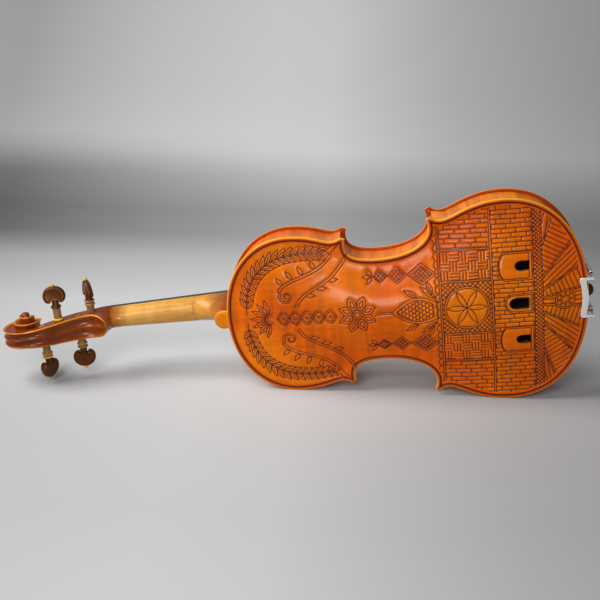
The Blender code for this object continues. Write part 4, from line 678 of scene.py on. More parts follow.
def rosette(centre, radius, petals):
    """Petals with a double outline round a boss."""
    lines = [ring(centre, 0.15 * radius), ring(centre, 0.25 * radius)]
    for i in range(petals):
        degrees = (i + 0.5) * 360.0 / petals
        base = placed([(0.27 * radius, 0.0)], centre, degrees)[0]
        lines += leaf(base, degrees, 0.73 * radius, 0.48 * radius, 0.0)
        base = placed([(0.40 * radius, 0.0)], centre, degrees)[0]
        lines += leaf(base, degrees, 0.40 * radius, 0.20 * radius, 0.0)
    return lines


def guilloche(first, last, reach, waves):
    """Two strands that cross each other, with a bead in each eye."""
    x = np.linspace(first, last, 70)
    lines = []
    for way in (1, -1):
        z = way * reach * np.sin(np.pi * waves * (x - first) / (last - first))
        lines += beside(np.column_stack((x, z)), 1.9)
    for i in range(waves):
        lines.append(ring((first + (i + 0.5) * (last - first) / waves, 0.0), 1.5))
    return lines


def palmette(centre, radius, lobes):
    """A fan of lobes that opens towards the neck."""
    lines = [ring(centre, 3.2, 80, 200), ring(centre, 5.2, 80, 200)]
    for i in range(lobes):
        degrees = 180.0 + (i - (lobes - 1) / 2) * 150.0 / (lobes - 1)
        base = placed([(5.6, 0.0)], centre, degrees)[0]
        lines += leaf(base, degrees, radius, 5.4, 0.7)
    return lines


def lattice(polygon, pitch, holes=()):
    lines = []
    low = np.min(polygon, axis=0)
    high = np.max(polygon, axis=0)
    reach = high[0] - low[0] + high[1] - low[1]
    for way in (1, -1):
        for offset in np.arange(-reach, reach, pitch * math.sqrt(2)):
            start = (low[0], (low[1] if way > 0 else high[1]) + offset)
            lines.append(np.array((start, (start[0] + reach, start[1] + way * reach))))
    return clipped(lines, polygon, holes)


def bricks(polygon, pitch, length, holes=()):
    """Courses along the body with staggered joints."""
    low = np.min(polygon, axis=0)
    high = np.max(polygon, axis=0)
    lines = []
    for i, z in enumerate(np.arange(low[1], high[1] + pitch, pitch)):
        lines.append(np.array(((low[0], z), (high[0], z))))
        for x in np.arange(low[0] + (i % 3) * length / 3, high[0], length):
            lines.append(np.array(((x, z), (x, z + pitch))))
    return clipped(lines, polygon, holes)


def basket(polygon, cell, holes=()):
    """Squares hatched along and across by turns."""
    low = np.min(polygon, axis=0)
    high = np.max(polygon, axis=0)
    lines = []
    for i, x in enumerate(np.arange(low[0], high[0], cell)):
        for k, z in enumerate(np.arange(low[1], high[1], cell)):
            for step in np.arange(0.0, cell, cell / 3):
                if (i + k) % 2:
                    lines.append(np.array(((x, z + step), (x + cell, z + step))))
                else:
                    lines.append(np.array(((x + step, z), (x + step, z + cell))))
    return clipped(lines, polygon, holes)


def scales(polygon, size, holes=()):
    """Rows of scales that open towards the tail."""
    low = np.min(polygon, axis=0)
    high = np.max(polygon, axis=0)
    lines = []
    for i, x in enumerate(np.arange(low[0], high[0] + size, 0.72 * size)):
        for z in np.arange(low[1] + (i % 2) * size / 2, high[1] + size, size):
            lines.append(ring((x, z), size / 2, 90, 180))
    return clipped(lines, polygon, holes)


def lancet(tip, base, half, fill):
    """A pointed panel with a double outline, filled with scales or lattice."""
    along = np.linspace(0.0, 1.0, 20)
    bow = half * np.sin(np.pi * (0.02 + 0.80 * along)) ** 0.9
    x = tip[0] + (base - tip[0]) * along
    outline = np.vstack((np.column_stack((x, tip[1] + bow)), np.column_stack((x, tip[1] - bow))[::-1]))
    middle = np.mean(outline, axis=0)
    inner = middle + (outline - middle) * 0.82
    return [closed(outline), closed(inner)] + fill(inner), outline


def diamond(centre, long, short, fill):
    outline = np.array(centre) + np.array(((-long, 0), (0, short), (long, 0), (0, -short)))
    inner = np.array(centre) + (outline - centre) * 0.74
    return [closed(outline), closed(inner)] + fill(inner)


def arched_outline(slot, grow):
    """A through-opening's outline, grown all round."""
    middle, side, length, width = slot
    half = width / 2 + grow
    tail = middle + length / 2 + grow
    head = middle - length / 2 + width / 2
    turns = np.radians(np.linspace(90, 270, 15))
    bow = np.column_stack((head + half * np.cos(turns), side + half * np.sin(turns)))
    return np.vstack((((tail, side - half), (tail, side + half)), bow))


def box(x0, z0, x1, z1):
    return np.array(((x0, z0), (x1, z0), (x1, z1), (x0, z1)), float)


BAND = (214.0, 262.0)
FIELD_END = 303.0
LATTICE_END = 311.5
BOSS = (333.0, 0.0)
BOSS_RADIUS = 10.0
FAN = (292.0, 0.0)


def side_panel(side):
    """The plain panel that frames a side opening."""
    turns = np.radians(np.linspace(90, 270, 15))
    bow = np.column_stack((276.0 + 6.5 * np.cos(turns), side + 14.0 * np.sin(turns)))
    return np.vstack((((FIELD_END - 1.5, side - 14.0), (FIELD_END - 1.5, side + 14.0)), bow))


def diaper_band():
    """Three kinds of panel across the lower bout."""
    start, end = BAND
    centre = ((start + end) / 2, 0.0)
    whole = box(start - 3.0, 0.0, end + 3.0, 110.0)
    rules = []
    for x in (start - 1.8, start, end, end + 1.8):
        rules.append(np.array(((x, 0.0), (x, 110.0))))
    for z in (26.5, 28.3, 57.0, 58.8):
        rules.append(np.array(((start, z), (end, z))))
    lines = clipped(rules, whole)
    disc = ring(centre, 22.0)
    lines += clipped([disc, ring(centre, 20.0)], box(start, 0.0, end, 26.0))
    petals = [ring(placed([(19.0, 0.0)], centre, 60 * k)[0], 19.0, 60 * k + 120, 120) for k in range(6)]
    lines += clipped(petals, box(start, 0.0, end, 26.0))
    lines += lattice(box(start + 0.6, 0.0, end - 0.6, 26.0), 3.4, [disc])
    lines += basket(box(start + 0.6, 29.0, end - 0.6, 56.4), 9.0)
    lines += bricks(box(start + 0.6, 59.5, end - 0.6, 100.0), 4.5, 15.0)
    crest = [ring((start - 2.0, z), 4.0, 90, 180) for z in np.arange(4.0, 92.0, 8.0)]
    return lines + clipped(crest, box(start - 8.0, 0.0, start, 100.0))


def openings_field():
    """Courses between the openings' frames."""
    panels = [side_panel(slot[1]) for slot in (SLOTS[0], SLOTS[2])]
    frames = [arched_outline(SLOTS[1], 3.0)]
    field = box(BAND[1] + 2.6, -100.0, FIELD_END - 1.0, 100.0)
    lines = bricks(field, 4.5, 14.0, panels + frames)
    for panel in panels:
        middle = panel.mean(axis=0)
        lines += [closed(panel), closed(middle + (panel - middle) * (0.90, 0.88))]
    return lines + [closed(frames[0]), closed(arched_outline(SLOTS[1], 4.6))]


def lattice_band():
    band = box(FIELD_END, -100.0, LATTICE_END, 100.0)
    rules = [np.array(((x, -100.0), (x, 100.0))) for x in (FIELD_END, LATTICE_END)]
    return clipped(rules, box(FIELD_END - 1, -100.0, LATTICE_END + 1, 100.0)) + lattice(band, 2.9)


def sunburst():
    """Wedges round the tail, planked along and across by turns, with a star boss."""
    boss = ring(BOSS, BOSS_RADIUS)
    lines = [boss, ring(BOSS, BOSS_RADIUS - 1.8)]
    step = 20.0
    for i in range(9):
        first = (i - 4.5) * step
        corners = [FAN] + [placed([(140.0, 0.0)], FAN, turn)[0] for turn in (first, first + step)]
        wedge = np.array(corners)
        beyond = box(LATTICE_END + 0.8, -100.0, 360.0, 100.0)
        rays = [np.array((FAN, corners[1])), np.array((FAN, corners[2]))]
        rays += [np.array((placed([(3.0, 1.9)], FAN, first)[0], placed([(140.0, 1.9)], FAN, first)[0]))]
        lines += clipped(rays, beyond, [boss])
        planks = []
        for k in range(30):
            offset = 4.4 * (k + 0.5)
            if i % 2:
                ends = [placed([(offset, reach)], FAN, first + step / 2)[0] for reach in (-70, 70)]
            else:
                ends = [placed([(reach, offset - 66)], FAN, first + step / 2)[0] for reach in (0, 140)]
            planks.append(np.array(ends))
        lines += clipped(clipped(planks, beyond, [boss]), wedge)
    star = []
    for k in range(8):
        points = [placed([(reach, 0.0)], BOSS, 45 * k + turn)[0] for reach, turn in ((7.6, 0), (3.0, 22.5), (7.6, 45))]
        star.append(np.array(points))
    return lines + star


def waist_motifs():
    """Chains of diamonds and a central bud that point to the neck."""
    lines = []
    for x, long, short in ((196.0, 14.0, 10.5), (172.5, 9.5, 8.0), (155.5, 7.5, 6.2)):
        lines += diamond((x, 36.0), long, short, lambda shape: lattice(shape, 2.9))
    for turn in (125.0, 180.0, 235.0):
        lines += leaf((147.5, 36.0), turn, 8.5, 3.8, 0.0)
    return lines


def bud():
    lines, outline = lancet((166.0, 0.0), 209.5, 13.5, lambda shape: scales(shape, 4.6))
    for way in (1, -1):
        for base, turn, length in (((208.0, 12.0), 140.0, 19.0), ((205.0, 16.0), 112.0, 14.0), ((190.0, 14.5), 152.0, 14.0)):
            made = leaf((base[0], base[1]), turn, length, 4.8)
            lines += made if way > 0 else [mirrored(line) for line in made]
    lines += [beside_line for beside_line in beside(np.array(((150.0, 0.0), (165.0, 0.0))), 1.8)]
    return lines


def carving_lines():
    both = spray() + strapwork() + diaper_band() + waist_motifs()
    lines = both + [mirrored(line) for line in both]
    lines += rosette((131.0, 0.0), 19.5, 8)
    lines += guilloche(52.0, 110.0, 6.2, 5)
    lines += palmette((45.0, 0.0), 15.0, 7)
    lines += openings_field() + lattice_band() + sunburst() + bud()
    return [wobbled(line) for line in lines]


def wobbled(line):
    """A line with the slight unevenness of a knife led by hand."""
    moved = []
    for x, z in line:
        sway = noise.noise_vector(Vector((x / 11.0, z / 11.0, 0.0))) * 0.35
        moved.append((x + sway.x, z + sway.y))
    return np.array(moved)


# Plates as closed skins over their plan


CARVE_DEPTH = 0.36
CARVE_HALF = 0.50
PILLOW_DEPTH = 0.16
ROW_OFFSETS = (0.0, 0.40, -0.40, 0.85, -0.85)
RIM_ROWS = (1.0, 1.4, 2.0, 2.7, 3.25, 3.5, 3.95, 4.4, 4.65, 5.3, 6.1)
# Rings down a plate's side: how far in, height over the glued face, and the distance from the edge it is coloured as;
# the lower rings, turning under towards the rib, take the channel's dark red, partly the edge's own colour and partly
# painted shade under the overhang
EDGE_STEPS = ((0.34, 2.9, 0.0), (0.22, 2.2, 0.0), (0.22, 1.6, 0.03), (0.30, 1.0, 0.17), (0.6, 0.3, 0.31))
CREST_INSET = 0.7
FOOT_INSET = 1.2


def thinned(groups):
    """Points of several groups in order, without those nearer than a group's least distance to an earlier one."""
    cell = 0.5
    cells = {}
    kept = []
    for least, points in groups:
        span = math.ceil(least / cell)
        near = [(i, k) for i in range(-span, span + 1) for k in range(-span, span + 1)]
        for x, z in points:
            home = (math.floor(x / cell), math.floor(z / cell))
            others = (p for i, k in near for p in cells.get((home[0] + i, home[1] + k), ()))
            if all((x - p[0]) ** 2 + (z - p[1]) ** 2 >= least * least for p in others):
                cells.setdefault(home, []).append((x, z))
                kept.append((x, z))
    return np.array(kept)


def sheet(loops, loose, holes):
    """Triangles over plan points, held to closed loops and open at the holes; the first loop is the border."""
    points = []
    edges = []
    for loop in loops:
        first = len(points)
        points += [Vector(p) for p in loop]
        edges += [(first + i, first + (i + 1) % len(loop)) for i in range(len(loop))]
    points += [Vector(p) for p in loose]
    made = delaunay_2d_cdt(points, edges, [], 1, 1e-4)
    flat = np.array([tuple(p) for p in made[0]])
    faces = np.array(made[2])
    middles = flat[faces].mean(axis=1)
    keep = inside(middles, loops[0])
    for hole in holes:
        keep &= ~inside(middles, hole)
    place = {old: new for new, group in enumerate(made[3]) for old in group}
    return flat, faces[keep], [place[i] for i in range(len(loops[0]))]


def open_edges(faces):
    """Edges with a face on one side only."""
    sides = np.vstack((faces[:, (0, 1)], faces[:, (1, 2)], faces[:, (2, 0)]))
    _, index, counts = np.unique(np.sort(sides, axis=1), axis=0, return_index=True, return_counts=True)
    return sides[index[counts == 1]]


def grid(pitch, inner):
    """Evenly spread plan points over the body, further than a distance from its edge."""
    points = []
    for i, x in enumerate(np.arange(-12.0, BODY_LENGTH, pitch * 0.866)):
        for z in np.arange(-110.0 + (i % 2) * pitch / 2, 110.0, pitch):
            points.append((x, z))
    points = np.array(points)
    points = points[inside(points, outline_loop(0.0, True))]
    return points[distances(points, tree_of(outline_loop(0.0, True))) > inner]


def rim_rows():
    """Rows of points along the edge, mitred in the corners."""
    rows = []
    for reach in RIM_ROWS:
        for arc in ARCS:
            row = sampled(inset(arc, reach), 1.1)
            row = row[(distances(row, RIM_TREE) > reach - 0.03) & (row[:, 1] > 0.0)]
            rows += [row, mirrored(row)]
    return np.vstack(rows)


def line_rows(lines):
    """Rows of points along each carved line: its bed, its flanks and its shoulders."""
    groups = {offset: [] for offset in ROW_OFFSETS}
    for line in lines:
        even = sampled(line, 1.25)
        for offset in ROW_OFFSETS:
            groups[offset].append(inset(even, offset) if len(even) > 1 else even)
    return [(0.3, np.vstack(groups[offset])) for offset in ROW_OFFSETS]


def plate(arch, wood, with_button, loops, holes, lines):
    """A plate's points as (x, height, z), its faces, and its edge distance and carving at each point."""
    border = outline_loop(CREST_INSET, with_button)
    ring_rows = [(0.3, np.vstack([border] + loops))]
    for loop in loops:
        for reach in (0.35, -0.35, 0.8, -0.8):
            row = moved(loop, reach)
            in_opening = np.any([inside(row, other) for other in loops], axis=0)
            ring_rows.append((0.3, row[~in_opening]))
    groups = ring_rows + (line_rows(lines) if lines else []) + [(0.4, rim_rows()), (1.3, grid(2.6, 1.5))]
    flat, faces, border_index = sheet([border] + loops, thinned(groups), holes)
    edge_tree = tree_of(sampled_loop(outline_loop(0.0, with_button)))
    heights, rim = outer_heights(flat, arch)
    edge = distances(flat, edge_tree)
    heights -= 0.45 * (1 - smooth_step(edge, 0.4, 1.8))
    carve = np.zeros(len(flat))
    if lines:
        reach = distances(flat, tree_of(np.vstack([sampled(line, 0.3) for line in lines])))
        heights -= CARVE_DEPTH * np.exp(-((reach / CARVE_HALF) ** 2))
        heights -= PILLOW_DEPTH * np.exp(-((reach / 1.5) ** 2))
        carve = 1 - smooth_step(reach, 0.15, 0.88)
    if loops:
        verge = distances(flat, tree_of(np.vstack([sampled_loop(loop) for loop in loops])))
        heights -= 0.35 * np.exp(-((verge / 0.3) ** 2))
    foot = outline_loop(FOOT_INSET, with_button)
    floor, floor_faces, foot_index = sheet([foot] + loops, grid(6.0, 4.0), holes)
    hollow = np.maximum(0.0, outer_heights(floor, arch)[0] - wood)
    hollow[distances(floor, edge_tree) < CHANNEL_INSET] = 0.0
    return flat, faces, border_index, heights, rim, carve, floor, floor_faces, foot_index, hollow


def sampled_loop(loop):
    return sampled(closed(loop), 0.3)


# Making pieces


def deselect():
    for obj in bpy.context.selected_objects:
        obj.select_set(False)


def body_of(node):
    return next(name for name, members in frame["record"]["behaviour"]["bodies"].items() if node in members)


def slot_of(node):
    return next(entry["material_slot"] for entry in frame["record"]["subparts"] if entry["node"] == node)


def stand_for(piece, node):
    """Gives a finished piece its node's body, place in the model and material."""
    slot = slot_of(node)
    piece.data.materials.clear()
    piece.data.materials.append(SLOT_MATERIALS[slot])
    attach(piece, body_of(node))
    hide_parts(node)
    return piece


def make_piece(name, points, faces, smooth_angle):
    """An object from points in the violin's own millimetres, its faces turned outwards."""
    data = bpy.data.meshes.new(name)
    data.from_pydata([TO_WORLD @ (Vector(point) * MM) for point in points], [], faces)
    shape = bmesh.new()
    shape.from_mesh(data)
    bmesh.ops.recalc_face_normals(shape, faces=shape.faces)
    shape.to_mesh(data)
    shape.free()
    piece = bpy.data.objects.new(name, data)
    bpy.context.scene.collection.objects.link(piece)
    deselect()
    piece.select_set(True)
    bpy.context.view_layer.objects.active = piece
    bpy.ops.object.shade_smooth_by_angle(angle=math.radians(smooth_angle))
    return piece


def set_point_values(piece, name, values):
    attribute = piece.data.attributes.new(name, "FLOAT", "POINT")
    attribute.data.foreach_set("value", np.asarray(values, np.float32))


# Neck, pegbox and scroll

EYE_AT = -208.4
EYE_LIFT = 4.0
EYE_RADIUS = 4.2
EYE_REACH = 19.4
FLUTE_DEPTH = 2.0
CHEEK_WALL = 4.9
CAVITY = (-134.6, -194.1)
SCOOP = 0.8
UNDERCUT = 0.3

# Pegbox from the chin towards the scroll: x, back, front rim, half width at back and at rim
PEGBOX = (
    (-121.8, 16.0, 26.0, 3.2, 10.6),
    (-123.4, 11.0, 26.1, 3.6, 11.0),
    (-124.3, 5.0, 26.2, 3.8, 11.3),
    (-124.8, -0.6, 26.3, 4.0, 11.6),
    (-126.2, -2.2, 26.5, 6.6, 11.9),
    (-128.8, -1.4, 26.8, 9.4, 12.2),
    (-132.8, 0.6, 26.6, 11.5, 12.4),
    (-138.4, 2.6, 24.2, 12.6, 12.2),
    (-144.0, 2.4, 22.2, 12.7, 11.9),
    (-150.0, 0.6, 20.3, 12.5, 11.6),
    (-157.0, -2.6, 17.8, 12.1, 11.2),
    (-164.0, -6.4, 14.4, 11.7, 10.8),
    (-171.0, -11.0, 9.8, 11.2, 10.3),
    (-178.0, -15.6, 4.6, 10.7, 9.8),
    (-185.0, -19.8, 0.8, 10.2, 9.0),
    (-192.0, -23.0, -2.0, 9.7, 7.6),
    (-199.0, -24.8, -4.0, 9.1, 5.8),
)
# Radius and half width of the turning ribbon at each quarter turn
TURN_RADIUS = (29.5, 22.5, 17.3, 14.7, 13.4, 12.3, 10.8, 7.9, 6.9, 6.2, 5.8)
TURN_HALF = (8.6, 6.8, 6.7, 10.9, 11.3, 11.4, 12.4, 15.8, 16.6, 17.0, 17.2)
PER_QUARTER = 20
# The chin's lower edge: place, height, half width
CHIN_END = (-124.9, -0.6, 4.0)

# Neck and heel from the pegbox to the button: front x, y, back x, y and half width
NECK = (
    (-131.0, 26.9, -131.0, 8.3, 10.5),
    (-125.0, 27.5, -125.0, 11.5, 10.7),
    (-118.5, 28.2, -118.5, 14.5, 10.9),
    (-111.0, 29.0, -111.0, 16.6, 11.1),
    (-95.0, 30.7, -95.0, 18.2, 11.5),
    (-76.0, 32.7, -76.0, 20.1, 12.1),
    (-60.0, 34.4, -60.0, 21.7, 12.5),
    (-42.0, 36.3, -42.0, 23.4, 13.0),
    (-31.0, 37.4, -38.0, 24.4, 13.3),
    (-21.0, 38.5, -31.5, 22.6, 13.6),
    (-11.0, 39.5, -26.0, 19.7, 13.9),
    (-0.3, 40.7, -21.6, 16.0, 14.2),
    (-0.3, 31.0, -18.2, 11.8, 13.6),
    (-0.3, 21.0, -15.7, 7.6, 12.6),
    (-0.3, 10.0, -14.0, 3.6, 11.0),
    (-0.3, 0.3, -13.2, 0.3, 9.8),
)

# Pegs from the nut: name, place, height, side, turn of the head, the collar's and the ring's distance, and the
# tones of ring and collar
PEGS = (
    ("g", -142.3, 13.6, 1, 115.0, 25.4, 20.9, 0.0, 0.5),
    ("e", -155.6, 8.0, -1, 8.0, 23.6, 19.1, 0.0, 0.5),
    ("d", -172.8, -1.4, 1, 10.0, 26.6, 12.6, 1.0, 0.0),
    ("a", -188.8, -6.888, -1, 68.0, 26.4, 21.9, 0.0, 1.0),
)


def spline(rows, where):
    """A smooth curve through rows of numbers, read at fractional row numbers."""
    rows = np.array(rows, float).reshape(len(rows), -1)
    where = np.atleast_1d(where)
    low = np.clip(np.floor(where).astype(int), 0, len(rows) - 2)
    t = (where - low)[:, None]
    start, end = rows[low], rows[low + 1]
    leave = (end - rows[np.maximum(low - 1, 0)]) / 2
    arrive = (rows[np.minimum(low + 2, len(rows) - 1)] - start) / 2
    ends = (2 * t**3 - 3 * t**2 + 1) * start + (3 * t**2 - 2 * t**3) * end
    return ends + (t**3 - 2 * t**2 + t) * leave + (t**3 - t**2) * arrive


BACK_STEPS = np.array((0.0, 0.05, 0.14, 0.26, 0.38, 0.5, 0.62, 0.74, 0.86, 0.94, 1.0))
SIDE_STEPS = np.array((0.05, 0.14, 0.26, 0.4, 0.55, 0.7, 0.84, 0.95, 1.0))


def hollow(depth):
    """The flute's depth from the ridge in the middle to the edge."""
    return depth * (np.sin(np.pi * BACK_STEPS) ** 0.9 + 0.1 * (1 - BACK_STEPS))


def whole_ring(half):
    """Closes a half section, from its back's middle to its front's middle, with its mirror image."""
    return np.vstack((half, half[-2:0:-1] * (1.0, 1.0, -1.0)))


def box_half(row):
    """Half section of the pegbox: fluted back, bevelled edge, cheek, rim and the wall of the trough."""
    x, back, front, half_back, half_front = row
    depth = FLUTE_DEPTH * np.interp(x, (-134.0, -125.0), (1.0, 0.35))
    edge = half_back - 1.1
    points = [(z, y) for z, y in zip(BACK_STEPS * edge, back + hollow(depth) - 0.1 * BACK_STEPS)]
    points += [(half_back - 0.4, back + 0.3), (half_back, back + 0.9)]
    bulge = (half_back + half_front) / 2 - np.interp(x, (-199.0, -185.0), (1.2, 0.5))
    for t in SIDE_STEPS:
        ends = (1 - t) * (1 - 2 * t) * half_back + t * (2 * t - 1) * half_front
        points.append((ends + 4 * t * (1 - t) * bulge, back + 0.9 + t * (front - back - 1.9)))
    points += [(half_front - 0.25, front - 0.3), (half_front - 0.8, front)]
    wall = max(half_front - CHEEK_WALL, 1.5)
    floor = np.interp(x, PEG_LINE[0], PEG_LINE[1]) - 6.7
    if CAVITY[1] < x < CAVITY[0]:
        points += [(wall, front), (wall, floor + 2.0), (wall - 1.5, floor), (0.0, floor)]
    else:
        points += [(wall, front), (0.8 * wall, front), (0.4 * wall, front), (0.0, front)]
    return np.array([(x, y, z) for z, y in points])


PEG_LINE = ((-190.0, -172.8, -155.6, -142.3, -134.0), (-7.3, -1.4, 8.0, 13.6, 16.6))


def turn_half(quarter):
    """Half section of the scroll's ribbon: fluted back, bevelled rim and the scooped ledge down to the next turn."""
    radius = spline(TURN_RADIUS, quarter)[0, 0]
    half = spline(TURN_HALF, quarter)[0, 0]
    inner = EYE_RADIUS - 1.2
    if quarter <= 6.0:
        inner = spline(TURN_RADIUS, quarter + 4.0)[0, 0]
    step = min(1.0, 0.25 * (radius - inner) + 0.2)
    fade = np.interp(quarter, (3.2, 4.0), (1.0, 0.0))
    points = [(z, r) for z, r in zip(BACK_STEPS * (half - 0.7), radius - hollow(FLUTE_DEPTH * fade))]
    lip = (half - 0.9, radius - 1.3 * step)
    points += [(half, radius - 0.5 * step), lip]
    for t in SIDE_STEPS:
        scoop = SCOOP * step * np.sin(np.pi * t) ** 0.8
        points.append((lip[0] + t * (half - 2.0 - lip[0]) - scoop, lip[1] + t * (inner - lip[1])))
    foot = inner - UNDERCUT
    points += [(half - 2.0, inner - UNDERCUT / 2), (half - 2.1, foot)]
    points += [(share * (half - 2.1), foot) for share in (0.75, 0.5, 0.25, 0.0)]
    angle = -math.pi / 2 - quarter * math.pi / 2
    return np.array([(EYE_AT + r * math.cos(angle), EYE_LIFT + r * math.sin(angle), z) for z, r in points])


# Points of a half section that lie on its bevel and in its deepest parts
BEVEL = (10, 11, 12)
CHEEK_END = 12 + len(SIDE_STEPS)


def loft_faces(count, size):
    """Faces between rings of equal size, with a cap at each end."""
    faces = [tuple(range(size))[::-1]]
    for r in range(count - 1):
        for k in range(size):
            a, b = r * size + k, r * size + (k + 1) % size
            faces.append((a, b, b + size, a + size))
    faces.append(tuple(range((count - 1) * size, count * size)))
    return faces


def lofted(name, rings, smooth_angle=42.0):
    points = np.vstack(rings)
    return make_piece(name, points, loft_faces(len(rings), len(rings[0])), smooth_angle)


def turned(name, profile, centre, count=40, smooth_angle=38.0):
    """A piece turned about the sideways axis through a centre, from (place, radius) pairs."""
    rings = []
    for z, radius in profile:
        turns = np.linspace(0, 2 * np.pi, count, endpoint=False)
        ring = np.column_stack((centre[0] + radius * np.cos(turns), centre[1] + radius * np.sin(turns), turns * 0 + z))
        rings.append(ring)
    return lofted(name, rings, smooth_angle)


def joined(name, pieces):
    """Several pieces as one object."""
    deselect()
    for piece in pieces:
        piece.select_set(True)
    bpy.context.view_layer.objects.active = pieces[0]
    bpy.ops.object.join()
    pieces[0].name = name
    return pieces[0]


def bored(piece, cutter):
    """Cuts one piece's shape out of another."""
    deselect()
    piece.select_set(True)
    bpy.context.view_layer.objects.active = piece
    bore = piece.modifiers.new("bore", "BOOLEAN")
    bore.operation = "DIFFERENCE"
    bore.solver = "EXACT"
    bore.object = cutter
    bpy.ops.object.modifier_apply(modifier="bore")
    bpy.data.objects.remove(cutter)
    return piece


def mm_of(piece):
    """A piece's points in the violin's own millimetres."""
    flat = np.empty(len(piece.data.vertices) * 3)
    piece.data.vertices.foreach_get("co", flat)
    back = np.array(TO_WORLD.inverted())
    return (flat.reshape(-1, 3) @ back[:3, :3].T + back[:3, 3]) / MM


def near_line(points, line, full, none):
    """One near a line's points, falling to nothing further away."""
    tree = KDTree(len(line))
    for i, point in enumerate(line):
        tree.insert(point, i)
    tree.balance()
    reach = np.array([tree.find(point)[2] for point in points])
    return 1 - smooth_step(reach, full, none)


def neck_pieces():
    boxes = [box_half(row) for row in spline(PEGBOX, np.linspace(0, 16, 16 * 6 + 1))]
    quarters = np.arange(0.0, 10.0 + 1e-6, 1.0 / PER_QUARTER)
    turns = [turn_half(q) for q in quarters]
    bridging = [boxes[-1] + (turns[0] - boxes[-1]) * t for t in (0.2, 0.4, 0.6, 0.8)]
    box = lofted("pegbox", [whole_ring(half) for half in boxes])
    holes = []
    for _, x, y, side, *_ in PEGS:
        profile = [(side * z, 4.05 + 0.012 * z) for z in (-20.0, 20.0)]
        holes.append(turned("hole", profile, (x, y), 40))
    bored(box, joined("holes", holes))
    scroll = lofted("scroll", [whole_ring(half) for half in (boxes[-1], *bridging, *turns)])
    knob = [(-EYE_REACH, 1.6), (-EYE_REACH + 0.25, 3.0), (-EYE_REACH + 0.9, 3.9), (-EYE_REACH + 1.7, EYE_RADIUS)]
    knob = [(-EYE_REACH - 0.1, 0.4), *knob]
    eye = turned("eye", knob + [(-z, r) for z, r in knob[::-1]], (EYE_AT, EYE_LIFT), 48)
    shaft = neck_shaft()
    lines = [(CHIN_END[0], CHIN_END[1], z) for z in np.linspace(-CHIN_END[2], CHIN_END[2], 17)]
    walls = []
    for half in boxes + bridging + turns:
        if half[0, 0] > CHIN_END[0]:
            continue
        for side in (1.0, -1.0):
            lines += [tuple(half[k] * (1.0, 1.0, side)) for k in BEVEL]
            walls += [tuple(half[k] * (1.0, 1.0, side)) for k in (4, 5, 6, CHEEK_END)]
    made = joined("neck_wood", [box, scroll, eye, shaft])
    points = mm_of(made)
    # The golden chamfers are the wood's colour; on the treble side, which faces down away from the light, they keep
    # only 0.55 of it as painted shade
    gold = near_line(points, lines, 0.3, 0.9) * np.where(points[:, 2] > 0.0, 1.0, 0.55)
    set_point_values(made, "edge", gold)
    # Painted shade near the flutes' bottoms and the cheeks' ends
    set_point_values(made, "hollow", near_line(points, walls, 0.5, 3.5))
    return made


def neck_shaft():
    """The neck's round back and the heel, down to the button."""
    turns = np.linspace(0.0, np.pi, 41)
    deep = np.sin(turns)[:, None] ** 0.9
    rings = []
    for front_x, front_y, back_x, back_y, half in spline(NECK, np.linspace(0, 15, 15 * 5 + 1)):
        front = np.array((min(front_x, -0.3), front_y, 0.0))
        back = np.array((back_x, back_y, 0.0))
        rings.append(front + (back - front) * deep + np.outer(half * np.cos(turns), (0.0, 0.0, 1.0)))
    return lofted("neck_shaft", rings)


# Pegs and their rings

PEG_RADIUS = 3.75
PEG_TAPER = 0.012
STEM_RADIUS = 3.5
HEAD_RISE = 3.8
HEAD_WIDTH = 23.0
HEAD_LENGTH = 17.6
HEAD_THICKNESS = 8.6
BEAD_RADIUS = 1.8
RING_RADIUS = 5.3
COLLAR_RADIUS = 5.3
RING_WIDTH = 2.4

# Half outline of a peg's head as shares of its length and half width
HEAD_HALF = (
    (0.115, 0.31),
    (0.02, 0.43),
    (0.00, 0.58),
    (0.05, 0.77),
    (0.17, 0.92),
    (0.36, 1.00),
    (0.56, 0.96),
    (0.75, 0.81),
    (0.90, 0.55),
    (0.985, 0.20),
)
# How far each ring of the head lies from its middle, as a share of its thickness, and its size
HEAD_RINGS = ((0.40, 0.50), (0.46, 0.66), (0.50, 0.80), (0.43, 0.91), (0.30, 0.975), (0.12, 1.0))
# Colours along a peg: dark head, tan shaft, golden bead
HEAD_TONE, SHAFT_TONE, BEAD_TONE = 0.0, 0.5, 1.0


def peg_head(side, base, turn):
    """The flat round grip with two lobes and slightly dished faces, turned about the peg."""
    half = spline(HEAD_HALF, np.linspace(0, len(HEAD_HALF) - 1, 46))
    half = half[:, ::-1] * (HEAD_WIDTH / 2, HEAD_LENGTH)
    outline = np.vstack((half, half[::-1] * (-1.0, 1.0)))
    middle = HEAD_LENGTH / 2
    along = np.array((math.cos(math.radians(turn)), math.sin(math.radians(turn)), 0.0))
    across = np.array((-along[1], along[0], 0.0))
    rings = []
    for depth, size in [(-d, s) for d, s in HEAD_RINGS] + [(d, s) for d, s in HEAD_RINGS[::-1]]:
        reach = middle + (outline[:, 1] - middle) * size
        thick = depth * HEAD_THICKNESS * (1.08 - 0.45 * reach / HEAD_LENGTH)
        flat = np.outer(outline[:, 0] * size, along) + np.outer(thick, across)
        rings.append(flat + np.outer(side * (base + reach), (0.0, 0.0, 1.0)))
    return rings


